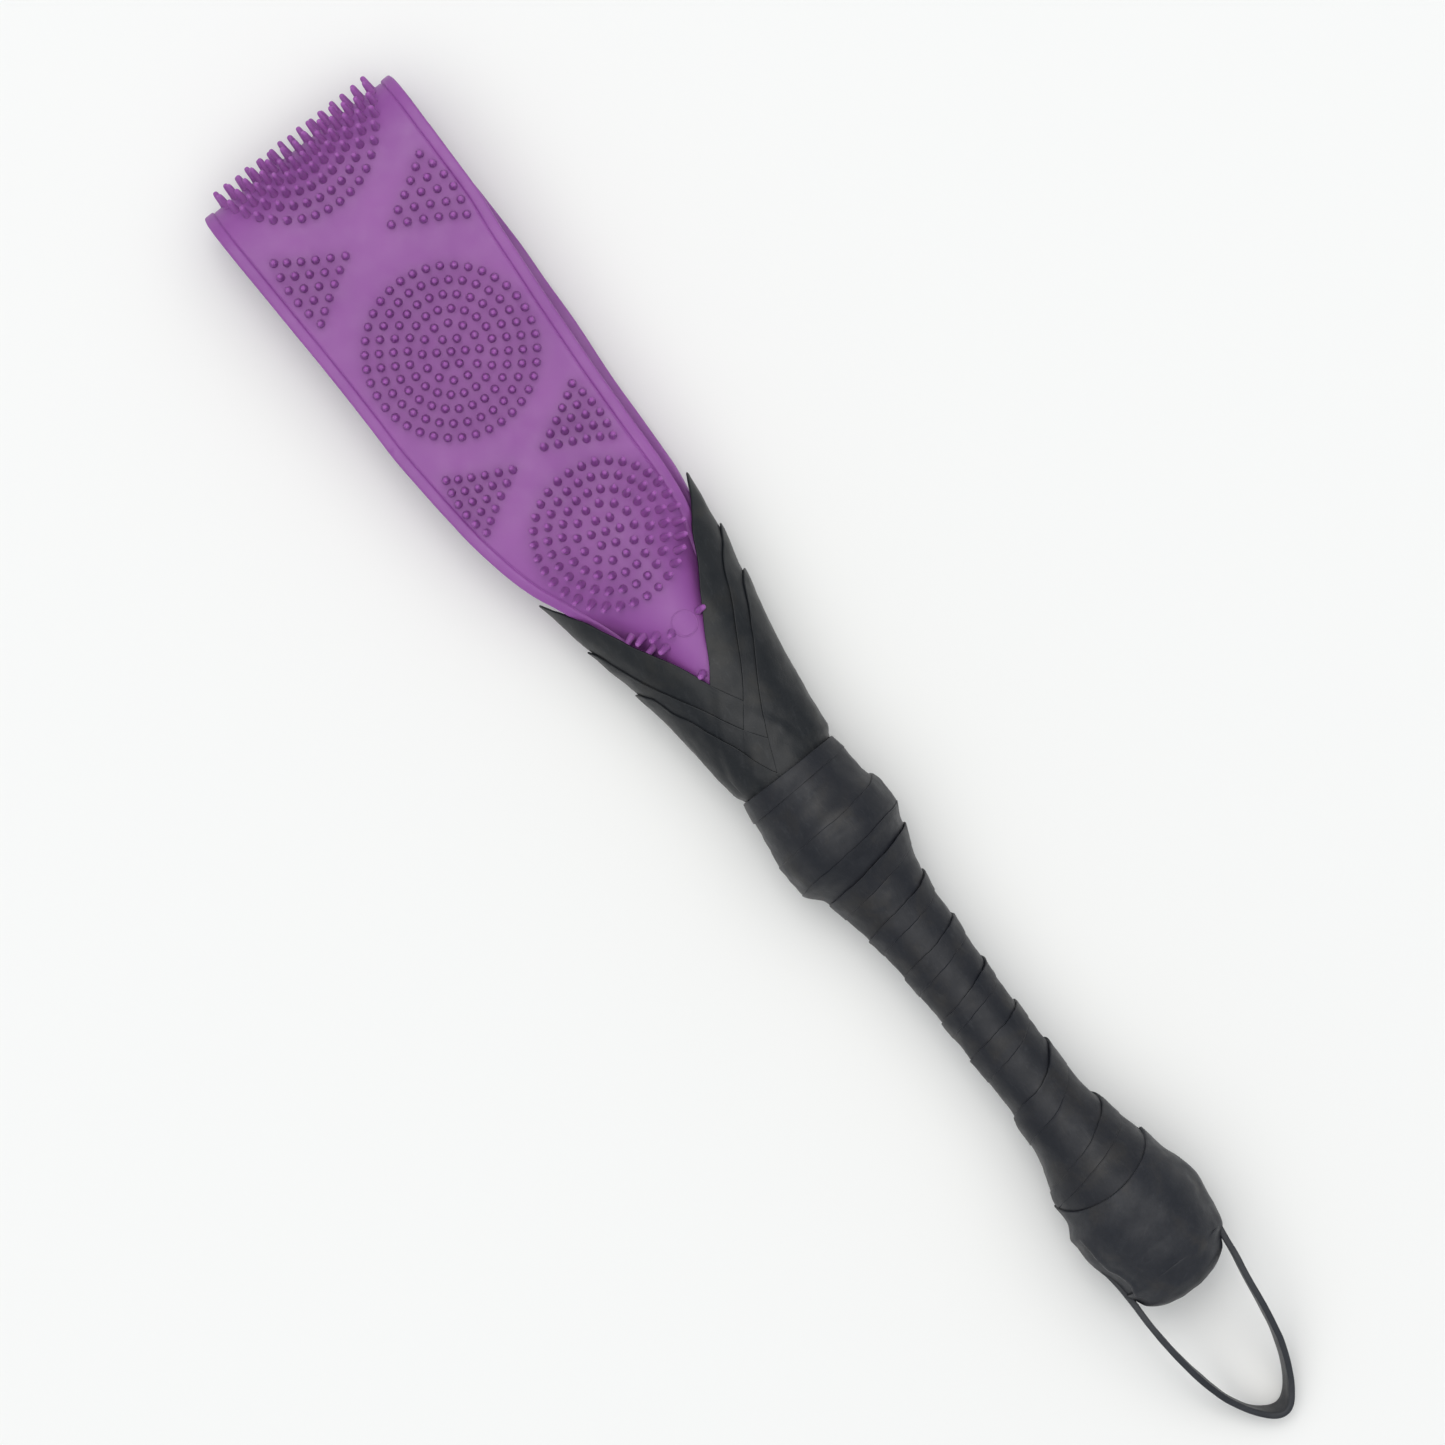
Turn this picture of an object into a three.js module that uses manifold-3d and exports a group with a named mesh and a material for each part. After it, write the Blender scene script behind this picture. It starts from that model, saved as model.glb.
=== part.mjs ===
// A hand paddle made of a nubbed silicone belt folded into a loop, with both ends bound into a rubber-wrapped handle.
// Units are millimetres, +Z up. The object lies on its back: +X runs from the wrist strap to the fold of the belt, +Y across the belt.
// Every station below, s, is the distance from the fold of the belt towards the wrist strap, so x = shift - s.
import * as THREE from "three";
import { mergeVertices } from "three/addons/utils/BufferGeometryUtils.js";
import Module from "manifold-3d";

const wasm = await Module();
wasm.setup();

// ---------------------------------------------------------------- driving dimensions
const UNIT = 0.298; // mm for one unit of the outline tables below
const BELT_THICK = 2.4; // silicone strip
const NUB_LENGTH = 5.0; // nubs on the outer faces
const NUB_R_BASE = 1.3;
const NUB_R_TIP = 0.6;
const FOLD_HALF = 13.0; // half of the loop's outer thickness where the fold ends
const FOLD_REACH = 19.0; // length of the fold, which is half an ellipse in side view
const BELT_SPLIT_LOOP = 137.5; // end of the swinging part of the belt
const BELT_SPLIT_TAIL = 148.5; // start of the part held by the handle
const BELT_TAIL_END = 262.0;
const MID_Z_FOLD = 18.0; // height of the belt's mid-plane above the floor at the fold
const MID_Z_HANDLE = 21.2; // height of the handle's axis above the floor
const HANDLE_START = 236.6; // collar's edge
const STRIP_THICK = 0.6; // throat strips
const STRIP_PITCH = 0.92; // one strip layer and the gap to the next
const WRAP_THICK = 1.5; // handle wraps
const GAP = 0.3; // clearance between neighbours
const CORE_R = 8.0; // handle stick
const NOSE_R = 11.0; // rounded nose of the stick, between the belt legs
const NOSE_S = 184.0;
const CORE_END = 424.0;
const STRAP_THICK = 1.9;
const STRAP_WIDE = 8.6;
const STRAP_PIVOT = 432.8; // station of the line that the wrist strap swings about
const STRAP_APEX = 479.3;

// ---------------------------------------------------------------- tables: [station unit, ...]
// Outline of the whole object, [u, low side, high side], in units of UNIT.
const OUTLINE = [
  [0, -116.6, 118.6], [6, -117.6, 119.6], [20, -118, 120], [100, -116.4, 118.5], [200, -117, 116], [260, -114, 116], [300, -112.5, 116.5], [340, -109.5, 115],
  [380, -106, 113], [420, -105, 109], [460, -103, 103], [480, -102, 99], [500, -105.5, 93], [520, -104.5, 90.5], [540, -101, 87], [580, -96.5, 81.5],
  [600, -91, 78.5], [620, -88.5, 74], [660, -80.5, 68], [700, -72.5, 63], [740, -66.5, 60], [770, -63.5, 58], [782, -61.5, 56.5], [792, -58, 54], [800, -59, 55.5], [812, -60.5, 57.5],
  [820, -61, 58], [840, -63.5, 61.5], [860, -70, 64.5], [880, -70.5, 65.5], [900, -62.5, 64], [920, -56.5, 50.5], [940, -50, 46], [960, -47, 42],
  [980, -44, 39], [1000, -43.5, 36.5], [1040, -41.5, 34.5], [1100, -39.5, 33], [1200, -41, 32.5], [1220, -42, 37], [1240, -46.5, 38],
  [1260, -51, 42.5], [1280, -56, 49], [1300, -62, 55.5], [1320, -66.5, 56], [1340, -73.5, 65.5], [1360, -75, 67], [1380, -71.5, 63.5],
  [1400, -68.5, 59], [1415, -65, 57.5], [1424, -57.5, 51], [1434, -52.5, 47], [1441, -43, 39], [1446, -32, 28.5], [1448, -24, 20], [1700, -24, 20],
];
// The belt's own edges, [u, low side, high side], front leg and back leg.
const FRONT_EDGE = [
  [0, -116.6, 118.6], [6, -117.6, 119.6], [20, -118, 120], [100, -116.4, 118.5], [145, -115.2, 117.5], [190, -110.4, 116.4], [234, -107, 116], [264, -104.4, 116],
  [300, -102, 116.5], [351, -98.6, 114.2], [390, -96.8, 111.5], [420, -95.4, 108.8], [454, -94.4, 103.5], [471, -93.2, 100], [496, -90, 92], [522, -84, 81], [560, -74, 68],
  [600, -64, 56.5], [660, -54, 50], [720, -44, 40], [780, -38.5, 34.5], [880, -38, 32],
];
const BACK_EDGE = [
  [0, -116.6, 118.6], [6, -117.6, 119.6], [20, -118, 120], [100, -116.6, 118.5], [150, -117.2, 117], [200, -117, 115], [260, -114, 113.5], [300, -112.5, 113], [380, -106.3, 109],
  [420, -105, 105], [460, -101.5, 98], [492, -95, 87], [519, -87, 79], [560, -76, 71], [600, -67, 63], [660, -56, 51], [720, -45, 40], [780, -38.5, 34.5], [880, -38, 32],
];
// Half-height of the belt's outer face over the mid-plane, at its centre and at its edges, and half-width of the ridge, by station in mm.
const BELT_CENTRE = [[19, 13], [40, 12.5], [70, 11.1], [92, 9.7], [104, 9.1], [110, 9.1], [118, 9.8], [127, 11.0], [136, 12.0], [143, 12.4], [150, 12.8], [165, 14.5], [180, 14.9], [200, 13.4], [220, 11.8], [240, 10.9], [270, 10.9]];
const BELT_RIM = [[19, 13], [40, 12.5], [70, 11.1], [92, 9.7], [106, 9.1], [120, 8.9], [132, 8.4], [143, 7.0], [150, 6.3], [165, 4.8], [180, 3.9], [200, 3.6], [220, 3.5], [270, 3.5]];
const RIDGE_HALF = [[13, 40], [120, 38], [143, 30], [150, 27], [165, 22.5], [180, 20], [200, 18.5], [220, 15], [240, 13], [270, 13]];
// Half-height of the throat's strips (innermost layer) by station in mm.
const THROAT_HALF = [[140, 11.8], [150, 12.8], [165, 15.2], [180, 15.7], [200, 14.2], [220, 12.6], [230, 11.9], [236.3, 11.3]];
// Half-height of the handle's outside by station in mm.
const HANDLE_HALF = [
  [236.6, 15.6], [242, 16.6], [250, 18.6], [256, 20.6], [262, 21.6], [266, 20.8], [271, 18.0], [276, 15.4], [281, 13.6], [288, 12.4], [300, 11.6], [330, 11.0],
  [358, 11.1], [366, 12.2], [376, 14.4], [386, 17.6], [394, 20.2], [402, 21.5], [407, 21.6], [412, 20.8], [419, 19.4], [424.3, 17.4], [427.4, 15.8], [429.4, 13.0], [430.9, 9.6], [431.5, 7.2],
];

// Leading edges of the throat's strips, [u, v], from the tip at the belt's edge to past the centre line.
const LEAD = {
  flap_left_1: [[495.5, -106], [539, -79.2], [580, -56], [605, -39], [632, -22], [659, -5.8], [677, 6.7], [700, 21], [722, 34]],
  flap_right_1: [[509.3, 92], [524.7, 85.4], [551.6, 69.3], [580, 56], [616, 37], [652, 17.4], [677, 7], [711, -9.8], [735, -22]],
  flap_left_2: [[556.5, -101.5], [580, -88], [607, -72], [648, -50], [684, -28], [711, -9.4], [734, 8.5], [758, 25]],
  flap_right_2: [[576.5, 81], [591, 79], [623, 67.5], [659, 49.6], [694.7, 28.2], [730.5, 10.3], [753, -5], [765, -14]],
  flap_left_3: [[606, -93], [616, -86.4], [641, -73.8], [669.7, -56], [694.7, -39.8], [725, -22], [752, -7.6], [780, 4.9], [789, 9]],
  flap_right_3: [[640, 70.2], [652, 65.7], [677, 58.6], [695, 48], [712.6, 40.7], [748.4, 24.6], [766, 18.3], [785, 10], [789, 7]],
};
const STRIP_END = { flap_left_1: 217.0, flap_right_1: 221.0, flap_left_2: 226.5, flap_right_2: 229.5, flap_left_3: 236.3, flap_right_3: 236.3 };
const STRIP_LEVEL = { flap_left_1: 0, flap_right_1: 1, flap_left_2: 2, flap_right_2: 3, flap_left_3: 4, flap_right_3: 5 };

// ---------------------------------------------------------------- curves through the tables
// Monotone cubic through rows [x, y], flat beyond its ends.
function curve(rows) {
  const x = rows.map((r) => r[0]), y = rows.map((r) => r[1]), n = x.length;
  const d = [], m = new Array(n).fill(0);
  for (let i = 0; i < n - 1; i++) d.push((y[i + 1] - y[i]) / (x[i + 1] - x[i]));
  for (let i = 1; i < n - 1; i++) m[i] = d[i - 1] * d[i] <= 0 ? 0 : (2 * d[i - 1] * d[i]) / (d[i - 1] + d[i]);
  return (q) => {
    if (q <= x[0]) return y[0];
    if (q >= x[n - 1]) return y[n - 1];
    let i = 0;
    while (q > x[i + 1]) i++;
    const h = x[i + 1] - x[i], t = (q - x[i]) / h;
    return (2 * t ** 3 - 3 * t ** 2 + 1) * y[i] + (t ** 3 - 2 * t ** 2 + t) * h * m[i] + (-2 * t ** 3 + 3 * t ** 2) * y[i + 1] + (t ** 3 - t ** 2) * h * m[i + 1];
  };
}
const inMm = (rows, k) => curve(rows.map((r) => [r[0] * UNIT, r[k] * UNIT]));
const lowSide = inMm(OUTLINE, 1), highSide = inMm(OUTLINE, 2);
const frontLow = inMm(FRONT_EDGE, 1), frontHigh = inMm(FRONT_EDGE, 2), backLow = inMm(BACK_EDGE, 1), backHigh = inMm(BACK_EDGE, 2);
const beltCentre = curve(BELT_CENTRE), beltRim = curve(BELT_RIM), ridgeHalf = curve(RIDGE_HALF), throatHalf = curve(THROAT_HALF), handleHalf = curve(HANDLE_HALF);
const centreY = (s) => (lowSide(s) + highSide(s)) / 2;
const halfWide = (s) => (highSide(s) - lowSide(s)) / 2;
const midZ = (s) => MID_Z_FOLD + (MID_Z_HANDLE - MID_Z_FOLD) * Math.min(1, Math.max(0, s / HANDLE_START));
const lerp = (a, b, t) => a + (b - a) * t;
const clamp = (x, a, b) => Math.min(b, Math.max(a, x));

// Height of the belt's outer face over its mid-plane.
function beltHeight(s, y) {
  const x = Math.min(1, Math.abs(y - centreY(s)) / ridgeHalf(s));
  return lerp(beltRim(s), beltCentre(s), 0.5 * (1 + Math.cos(Math.PI * x ** 1.3)));
}
// Half-width of the innermost strip layer.
const layersAt = (s) => lerp(0.75, 4 * STRIP_PITCH + STRIP_THICK + 0.15, clamp((s - 150) / 34, 0, 1));
const throatWide = (s) => halfWide(s) - layersAt(s);

// ---------------------------------------------------------------- solids
const closed = (g) => {
  g.deleteAttribute("normal");
  g.deleteAttribute("uv");
  const m = mergeVertices(g, 1e-4), p = m.getAttribute("position"), ix = m.index.array;
  let vol = 0;
  const a = new THREE.Vector3(), b = new THREE.Vector3(), c = new THREE.Vector3();
  for (let i = 0; i < ix.length; i += 3) {
    a.fromBufferAttribute(p, ix[i]);
    b.fromBufferAttribute(p, ix[i + 1]);
    c.fromBufferAttribute(p, ix[i + 2]);
    vol += a.dot(b.cross(c)) / 6;
  }
  if (vol < 0) for (let i = 0; i < ix.length; i += 3) [ix[i + 1], ix[i + 2]] = [ix[i + 2], ix[i + 1]];
  return m;
};
// A box with a grid of faces, each point moved to where(a, b, c), with a, b and c from 0 to 1.
function bentBox(na, nb, nc, where) {
  const g = new THREE.BoxGeometry(1, 1, 1, na, nb, nc), p = g.getAttribute("position"), v = new THREE.Vector3();
  for (let i = 0; i < p.count; i++) {
    where(p.getX(i) + 0.5, p.getY(i) + 0.5, p.getZ(i) + 0.5, v);
    p.setXYZ(i, v.x, v.y, v.z);
  }
  return closed(g);
}
// A ring or plug around the handle: a profile of [station, depth below the outside], turned on a lathe and then shaped to the handle's section.
const BASE = 60;
function turned(profile, segments, wide, high) {
  const pts = profile.map(([s, depth]) => new THREE.Vector2(depth === null ? 0 : BASE - depth, s));
  const g = new THREE.LatheGeometry(pts, segments), p = g.getAttribute("position");
  for (let i = 0; i < p.count; i++) {
    const x = p.getX(i), s = p.getY(i), z = p.getZ(i), r = Math.hypot(x, z);
    if (r < 1e-6) { p.setXYZ(i, -s, centreY(s), midZ(s)); continue; }
    const depth = BASE - r, cx = x / r, sz = z / r;
    p.setXYZ(i, -s, centreY(s) + Math.max(0.4, wide(s) - depth) * cx, midZ(s) + Math.max(0.4, high(s) - depth) * sz);
  }
  return closed(g);
}
const solid = (g) => new wasm.Manifold(new wasm.Mesh({ numProp: 3, vertProperties: new Float32Array(g.getAttribute("position").array), triVerts: new Uint32Array(g.index.array) }));
function geometry(s) {
  const m = s.getMesh(), g = new THREE.BufferGeometry();
  g.setAttribute("position", new THREE.BufferAttribute(new Float32Array(m.vertProperties), 3));
  g.setIndex(new THREE.BufferAttribute(new Uint32Array(m.triVerts), 1));
  return g;
}
const box = (x0, x1, y0, y1, z0, z1) => {
  const g = new THREE.BoxGeometry(x1 - x0, y1 - y0, z1 - z0);
  g.translate((x0 + x1) / 2, (y0 + y1) / 2, (z0 + z1) / 2);
  return solid(closed(g));
};

const root = new THREE.Group();
root.name = "belt_loop_paddle";
const made = {};
function add(name, g, color, roughness, metalness = 0) {
  made[name] = g;
  const m = new THREE.Mesh(g, new THREE.MeshStandardMaterial({ color, roughness, metalness }));
  m.name = name;
  root.add(m);
}
const SILICONE = 0x8f5b9c, RUBBER = 0x3e3f41, STRIP = 0x30343a, WOOD = 0xb08a5c, FOAM = 0x6b6b6b, CORD = 0xcfc8b8;

// ---------------------------------------------------------------- the belt
// side +1 is the front leg and -1 the back leg; depth is measured into the strip from its outer face.
const FOLD_S = FOLD_REACH;
// Way along the fold from the front leg to the back leg, for even steps of the ellipse's angle.
const foldWay = [0];
for (let i = 1; i <= 240; i++) {
  const a = ((i - 1) / 240) * Math.PI, b = (i / 240) * Math.PI;
  foldWay.push(foldWay[i - 1] + Math.hypot(FOLD_REACH * (Math.sin(b) - Math.sin(a)), FOLD_HALF * (Math.cos(b) - Math.cos(a))));
}
const FOLD_ARC = foldWay[240];
function foldAngle(way) {
  let i = 1;
  while (i < 240 && foldWay[i] < way) i++;
  return ((i - 1 + (way - foldWay[i - 1]) / (foldWay[i] - foldWay[i - 1])) / 240) * Math.PI;
}
function beltPoint(s, t, side, depth, v) {
  const y = side > 0 ? lerp(frontLow(s), frontHigh(s), t) : lerp(backLow(s), backHigh(s), t);
  return v.set(-s, y, midZ(s) + side * (beltHeight(s, y) - depth));
}
function loopPoint(a, t, depth, v) {
  const straight = BELT_SPLIT_LOOP - FOLD_S, arc = FOLD_ARC, total = 2 * straight + arc, q = a * total;
  if (q <= straight) return beltPoint(BELT_SPLIT_LOOP - q, t, 1, depth, v);
  if (q >= straight + arc) return beltPoint(FOLD_S + (q - straight - arc), t, -1, depth, v);
  const th = foldAngle(q - straight), out = [-Math.sin(th) / FOLD_REACH, Math.cos(th) / FOLD_HALF], k = Math.hypot(...out);
  const reach = FOLD_S - FOLD_REACH * Math.sin(th), s = reach - (depth * out[0]) / k;
  const y = lerp(lowSide(reach), highSide(reach), t);
  return v.set(-s, y, midZ(FOLD_S) + FOLD_HALF * Math.cos(th) - (depth * out[1]) / k);
}
// Steps along the strip: even on the straight runs, finer round the fold.
const loopSteps = (() => {
  const straight = BELT_SPLIT_LOOP - FOLD_S, arc = FOLD_ARC, total = 2 * straight + arc, out = [];
  const n = 14, m = 12;
  for (let i = 0; i < n; i++) out.push((i / n) * straight / total);
  for (let i = 0; i < m; i++) out.push((straight + (i / m) * arc) / total);
  for (let i = 0; i <= n; i++) out.push((straight + arc + (i / n) * straight) / total);
  return out;
})();
{
  const n = loopSteps.length - 1;
  const strip = bentBox(n, 8, 1, (a, b, c, v) => loopPoint(loopSteps[Math.round(a * n)], b, (1 - c) * BELT_THICK, v));
  let s = solid(strip);
  // A few plain nubs stand for the many: along the fold, along the edges, and on both faces.
  const p = new THREE.Vector3(), q = new THREE.Vector3(), e = new THREE.Vector3(), up = new THREE.Vector3(0, 1, 0);
  const straight = BELT_SPLIT_LOOP - FOLD_S, arc = FOLD_ARC, total = 2 * straight + arc;
  const places = [];
  for (const t of [0.12, 0.31, 0.5, 0.69, 0.88]) {
    places.push([(straight + arc / 2) / total, t]);
    places.push([(straight - 6) / total, t]);
    places.push([(straight + arc + 6) / total, t]);
    if (t !== 0.5) {
      places.push([(straight - 62) / total, t]);
      places.push([(straight + arc + 62) / total, t]);
    } else {
      places.push([(straight - 64) / total, t]);
      places.push([(straight + arc + 64) / total, t]);
    }
  }
  for (const [a, t] of places) {
    loopPoint(a, t, 0, p);
    loopPoint(a, t, 1, q);
    const out = p.clone().sub(q).normalize();
    const g = new THREE.CylinderGeometry(NUB_R_TIP, NUB_R_BASE, NUB_LENGTH + 1, 6);
    g.translate(0, (NUB_LENGTH + 1) / 2 - 1, 0);
    g.applyQuaternion(new THREE.Quaternion().setFromUnitVectors(up, out));
    g.translate(p.x, p.y, p.z);
    s = s.add(solid(closed(g)));
  }
  add("belt_loop", geometry(s), SILICONE, 0.55);
}
for (const [name, side] of [["belt_tail_front", 1], ["belt_tail_back", -1]])
  add(name, bentBox(20, 8, 1, (a, b, c, v) => beltPoint(lerp(BELT_SPLIT_TAIL, BELT_TAIL_END, a), b, side, (1 - c) * BELT_THICK, v)), SILICONE, 0.55);

// ---------------------------------------------------------------- the throat's crossed strips
function stripPoint(s, phi, level, v) {
  const d = level * STRIP_PITCH;
  return v.set(-s, centreY(s) + (throatWide(s) + d) * Math.cos(phi), midZ(s) + (throatHalf(s) + d) * Math.sin(phi));
}
for (const [name, points] of Object.entries(LEAD)) {
  const left = name.startsWith("flap_left");
  const level = STRIP_LEVEL[name], end = STRIP_END[name];
  // Station of the leading edge by angle from the strip's own side of the throat.
  const table = points.map(([u, v]) => {
    const s = u * UNIT, w = throatWide(s) + level * STRIP_PITCH, t = clamp(((v * UNIT - centreY(s)) / w) * (left ? -1 : 1), -0.98, 1);
    return [Math.acos(t), s];
  });
  table[0][0] = 0;
  for (let i = 1; i < table.length; i++) table[i][0] = Math.max(table[i][0], table[i - 1][0] + 0.02);
  const lead = curve(table);
  let reach = 0.2;
  while (lead(reach) < end - 2.5 && reach < 2.3 && reach < table[table.length - 1][0]) reach += 0.01;
  add(name, bentBox(24, 4, 1, (a, b, c, v) => {
    const g = (2 * a - 1) * reach, from = lead(Math.abs(g)), s = lerp(from, end, b), phi = left ? Math.PI - g : g;
    return stripPoint(s, phi, level + (c * STRIP_THICK) / STRIP_PITCH, v);
  }), STRIP, 0.7);
}

// ---------------------------------------------------------------- the handle
const outer = (from, to, n, depth = 0) => Array.from({ length: n + 1 }, (_, i) => [lerp(from, to, i / n), depth]);
const ring = (from, to, n, top, under) => [...outer(from, to, n, top), ...outer(to, from, n, under), [from, top]];
const SEG = 24;
add("collar_band", turned(ring(HANDLE_START, 241.9, 3, 0.3, 0.3 + 1.4), SEG, halfWide, handleHalf), RUBBER, 0.7);
const flatUnder = (g) => geometry(solid(g).subtract(box(-600, 100, -100, 100, -20, 0)));
add("bulb_wrap", flatUnder(turned(ring(242.2, 283.0, 11, 0, WRAP_THICK), SEG, halfWide, handleHalf)), RUBBER, 0.7);
add("grip_wrap", turned(ring(283.3, 358.6, 8, 0, 1.2), SEG, halfWide, handleHalf), RUBBER, 0.7);
add("neck_wrap", turned(ring(358.9, 390.2, 6, 0, 1.2), SEG, halfWide, handleHalf), RUBBER, 0.7);
add("pommel_wrap", flatUnder(turned(ring(390.5, 421.6, 8, 0, WRAP_THICK), SEG, halfWide, handleHalf)), RUBBER, 0.7);
// Under the wraps: padding, bindings, the stick and its ball. These are round, about the handle's axis.
const AXIS_Y = -0.9;
function roundTurned(profile, segments = 24) {
  const g = new THREE.LatheGeometry(profile.map(([s, r]) => new THREE.Vector2(r, s)), segments), p = g.getAttribute("position");
  for (let i = 0; i < p.count; i++) p.setXYZ(i, -p.getY(i), AXIS_Y + p.getX(i), MID_Z_HANDLE + p.getZ(i));
  return closed(g);
}
// The stick: a rounded nose, a neck that the belt's tails lie along, and a plain round shank.
const nose = Array.from({ length: 7 }, (_, i) => { const a = (Math.PI / 2) * (i / 6); return [NOSE_S - NOSE_R * Math.cos(a) * 1.15, NOSE_R * Math.sin(a)]; });
add("handle_core", roundTurned([...nose, [200, 9.6], [214, 8.4], [228, CORE_R], [CORE_END, CORE_R], [CORE_END, 0]], 20), WOOD, 0.6);
// The binding that ties the belt's tails to the stick.
add("tail_lashing", roundTurned([[244.2, 13.6], [244.8, 14.4], [256.2, 14.4], [256.8, 13.6], [256.8, 12.5], [244.2, 12.5], [244.2, 13.6]], 20), CORD, 0.8);
// Padding under the bulb: the wrap's inside shape, less the room for the lashing, the belt's tails and the stick.
const plug = (profile) => solid(turned(profile, SEG, halfWide, handleHalf));
const bore = (profile) => solid(roundTurned(profile, 20));
{
  const d = WRAP_THICK + GAP;
  const body = plug([[242.4, null], ...outer(242.4, 282.6, 10, d), [282.6, null]]);
  const room = bore([[241, 0], [241, 12.3], [243.9, 12.3], [243.9, 14.75], [257.1, 14.75], [257.1, 12.4], [262.6, 12.4], [262.6, CORE_R + GAP], [284, CORE_R + GAP], [284, 0]]);
  add("bulb_padding", geometry(body.subtract(room)), FOAM, 0.9);
}
// A first layer on the stick, under the grip's and the neck's wraps.
{
  const body = plug([[283.0, null], ...outer(283.0, 390.0, 14, 1.2 + GAP), [390.0, null]]);
  add("grip_underwrap", geometry(body.subtract(bore([[280, 0], [280, CORE_R + GAP], [392, CORE_R + GAP], [392, 0]]))), FOAM, 0.9);
}

// ---------------------------------------------------------------- the wrist strap
// Line of the strap's loop, [station, y, z], from one exit round to the other; the two ends are where it swings.
const STRAP_LINE = [
  [STRAP_PIVOT, -16.8, MID_Z_HANDLE], [438.5, -15.8, 20.7], [445, -14.6, 19.1], [452.5, -13.1, 16.2], [459.6, -11.2, 12.6], [466.9, -8.1, 8.6], [472.4, -4.6, 5.7], [475.6, -1.6, 4.55],
  [476.6, 0.8, 4.35], [475.8, 3.6, 4.5], [472.8, 7.4, 5.6], [466.9, 11.0, 8.6], [459.6, 13.1, 12.6], [452.5, 14.4, 16.2], [445, 15.4, 19.1], [438.5, 16.0, 20.7], [STRAP_PIVOT, 16.3, MID_Z_HANDLE],
];
const STRAP_GAP = 4.8; // from the pivot line to the swinging part, and to the tails
const strapTilt = curve([[432, 0], [438.5, 8], [445, 19], [452.5, 26], [459.6, 28.5], [480, 28.5]]); // of the strap's width from upright, in degrees
const strapCurve = new THREE.CatmullRomCurve3(STRAP_LINE.map(([s, y, z]) => new THREE.Vector3(-s, y, z)), false, "centripetal");
const strapAt = (() => {
  // the share of the curve at which it has left the gap, from each end
  const at = (from, step) => { let t = from; while (-strapCurve.getPointAt(t).x < STRAP_PIVOT + STRAP_GAP) t += step; return t; };
  return [at(0, 0.0005), at(1, -0.0005)];
})();
function strapPoint(t, across, up, v) {
  const p = strapCurve.getPointAt(t), tan = strapCurve.getTangentAt(t), tilt = THREE.MathUtils.degToRad(strapTilt(-p.x));
  const w = new THREE.Vector3(-Math.sin(tilt), 0, Math.cos(tilt));
  w.addScaledVector(tan, -w.dot(tan)).normalize();
  const n = new THREE.Vector3().crossVectors(tan, w).normalize();
  return v.copy(p).addScaledVector(n, across * STRAP_THICK).addScaledVector(w, up * STRAP_WIDE);
}
add("wrist_strap", bentBox(30, 1, 1, (a, b, c, v) => strapPoint(lerp(strapAt[0], strapAt[1], a), b - 0.5, c - 0.5, v)), STRIP, 0.65);
// Each tail lies on the pommel's ball, under its wrap, and comes out over the end band.
const TAIL_FROM = 394, TAIL_TO = STRAP_PIVOT - STRAP_GAP;
function tailSolid(side, grow) {
  const depth = curve([[394, WRAP_THICK + GAP], [418, WRAP_THICK + GAP], [421.8, WRAP_THICK + GAP - 0.1], [425, 0.3], [428, -1.1], [434, -1.5]]);
  return bentBox(14, 1, 4, (a, b, c, v) => {
    const s = lerp(TAIL_FROM - grow, TAIL_TO + grow, a), r = halfWide(s), d = depth(s) - grow + b * (STRAP_THICK + 2 * grow), up = (c - 0.5) * (STRAP_WIDE + 2 * grow);
    const ang = up / (r - d);
    const y = (r - d) * Math.cos(ang), z = (handleHalf(s) - d) * Math.sin(ang);
    v.set(-s, centreY(s) + side * y, midZ(s) + z);
  });
}
let ball = plug([[390.8, null], ...outer(390.8, 421.3, 8, WRAP_THICK + GAP), [421.3, null]]).subtract(bore([[388, 0], [388, CORE_R + GAP], [CORE_END + 1, CORE_R + GAP], [CORE_END + 1, 0]]));
let endBand = plug([[421.9, null], [421.9, 0], [423.5, 0], [425.5, 0], [427.4, 0], [429.4, 0], [430.9, 0], [431.5, 0], [431.5, null]]).subtract(bore([[420, 0], [420, CORE_R + GAP], [CORE_END + GAP, CORE_R + GAP], [CORE_END + GAP, 0]]));
for (const [name, side] of [["strap_tail_left", -1], ["strap_tail_right", 1]]) {
  add(name, tailSolid(side, 0), STRIP, 0.65);
  const slot = solid(tailSolid(side, GAP)).add(solid(tailSolid(side, GAP).clone().translate(-3, 0, 0)));
  ball = ball.subtract(slot);
  endBand = endBand.subtract(slot);
}
add("pommel_core", geometry(ball), WOOD, 0.6);
add("pommel_end_band", geometry(endBand), RUBBER, 0.7);

// ---------------------------------------------------------------- stand it at its own origin: the middle of its box, on the floor
{
  const b = new THREE.Box3().setFromObject(root);
  for (const m of root.children) m.position.x = -(b.min.x + b.max.x) / 2, m.position.y = -(b.min.y + b.max.y) / 2, m.position.z = -b.min.z;
}
export default root;
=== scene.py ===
# A hand paddle: a nubbed silicone belt folded into a loop, its ends bound into a rubber-wrapped handle with a wrist strap.
# Every length below is in millimetres until place() turns it into metres in the row frame.
# Stations: s is the distance from the fold of the belt towards the wrist strap; y is across the belt; z is up from the floor.
import math

import bpy
import numpy as np
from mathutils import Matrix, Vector, noise


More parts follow.
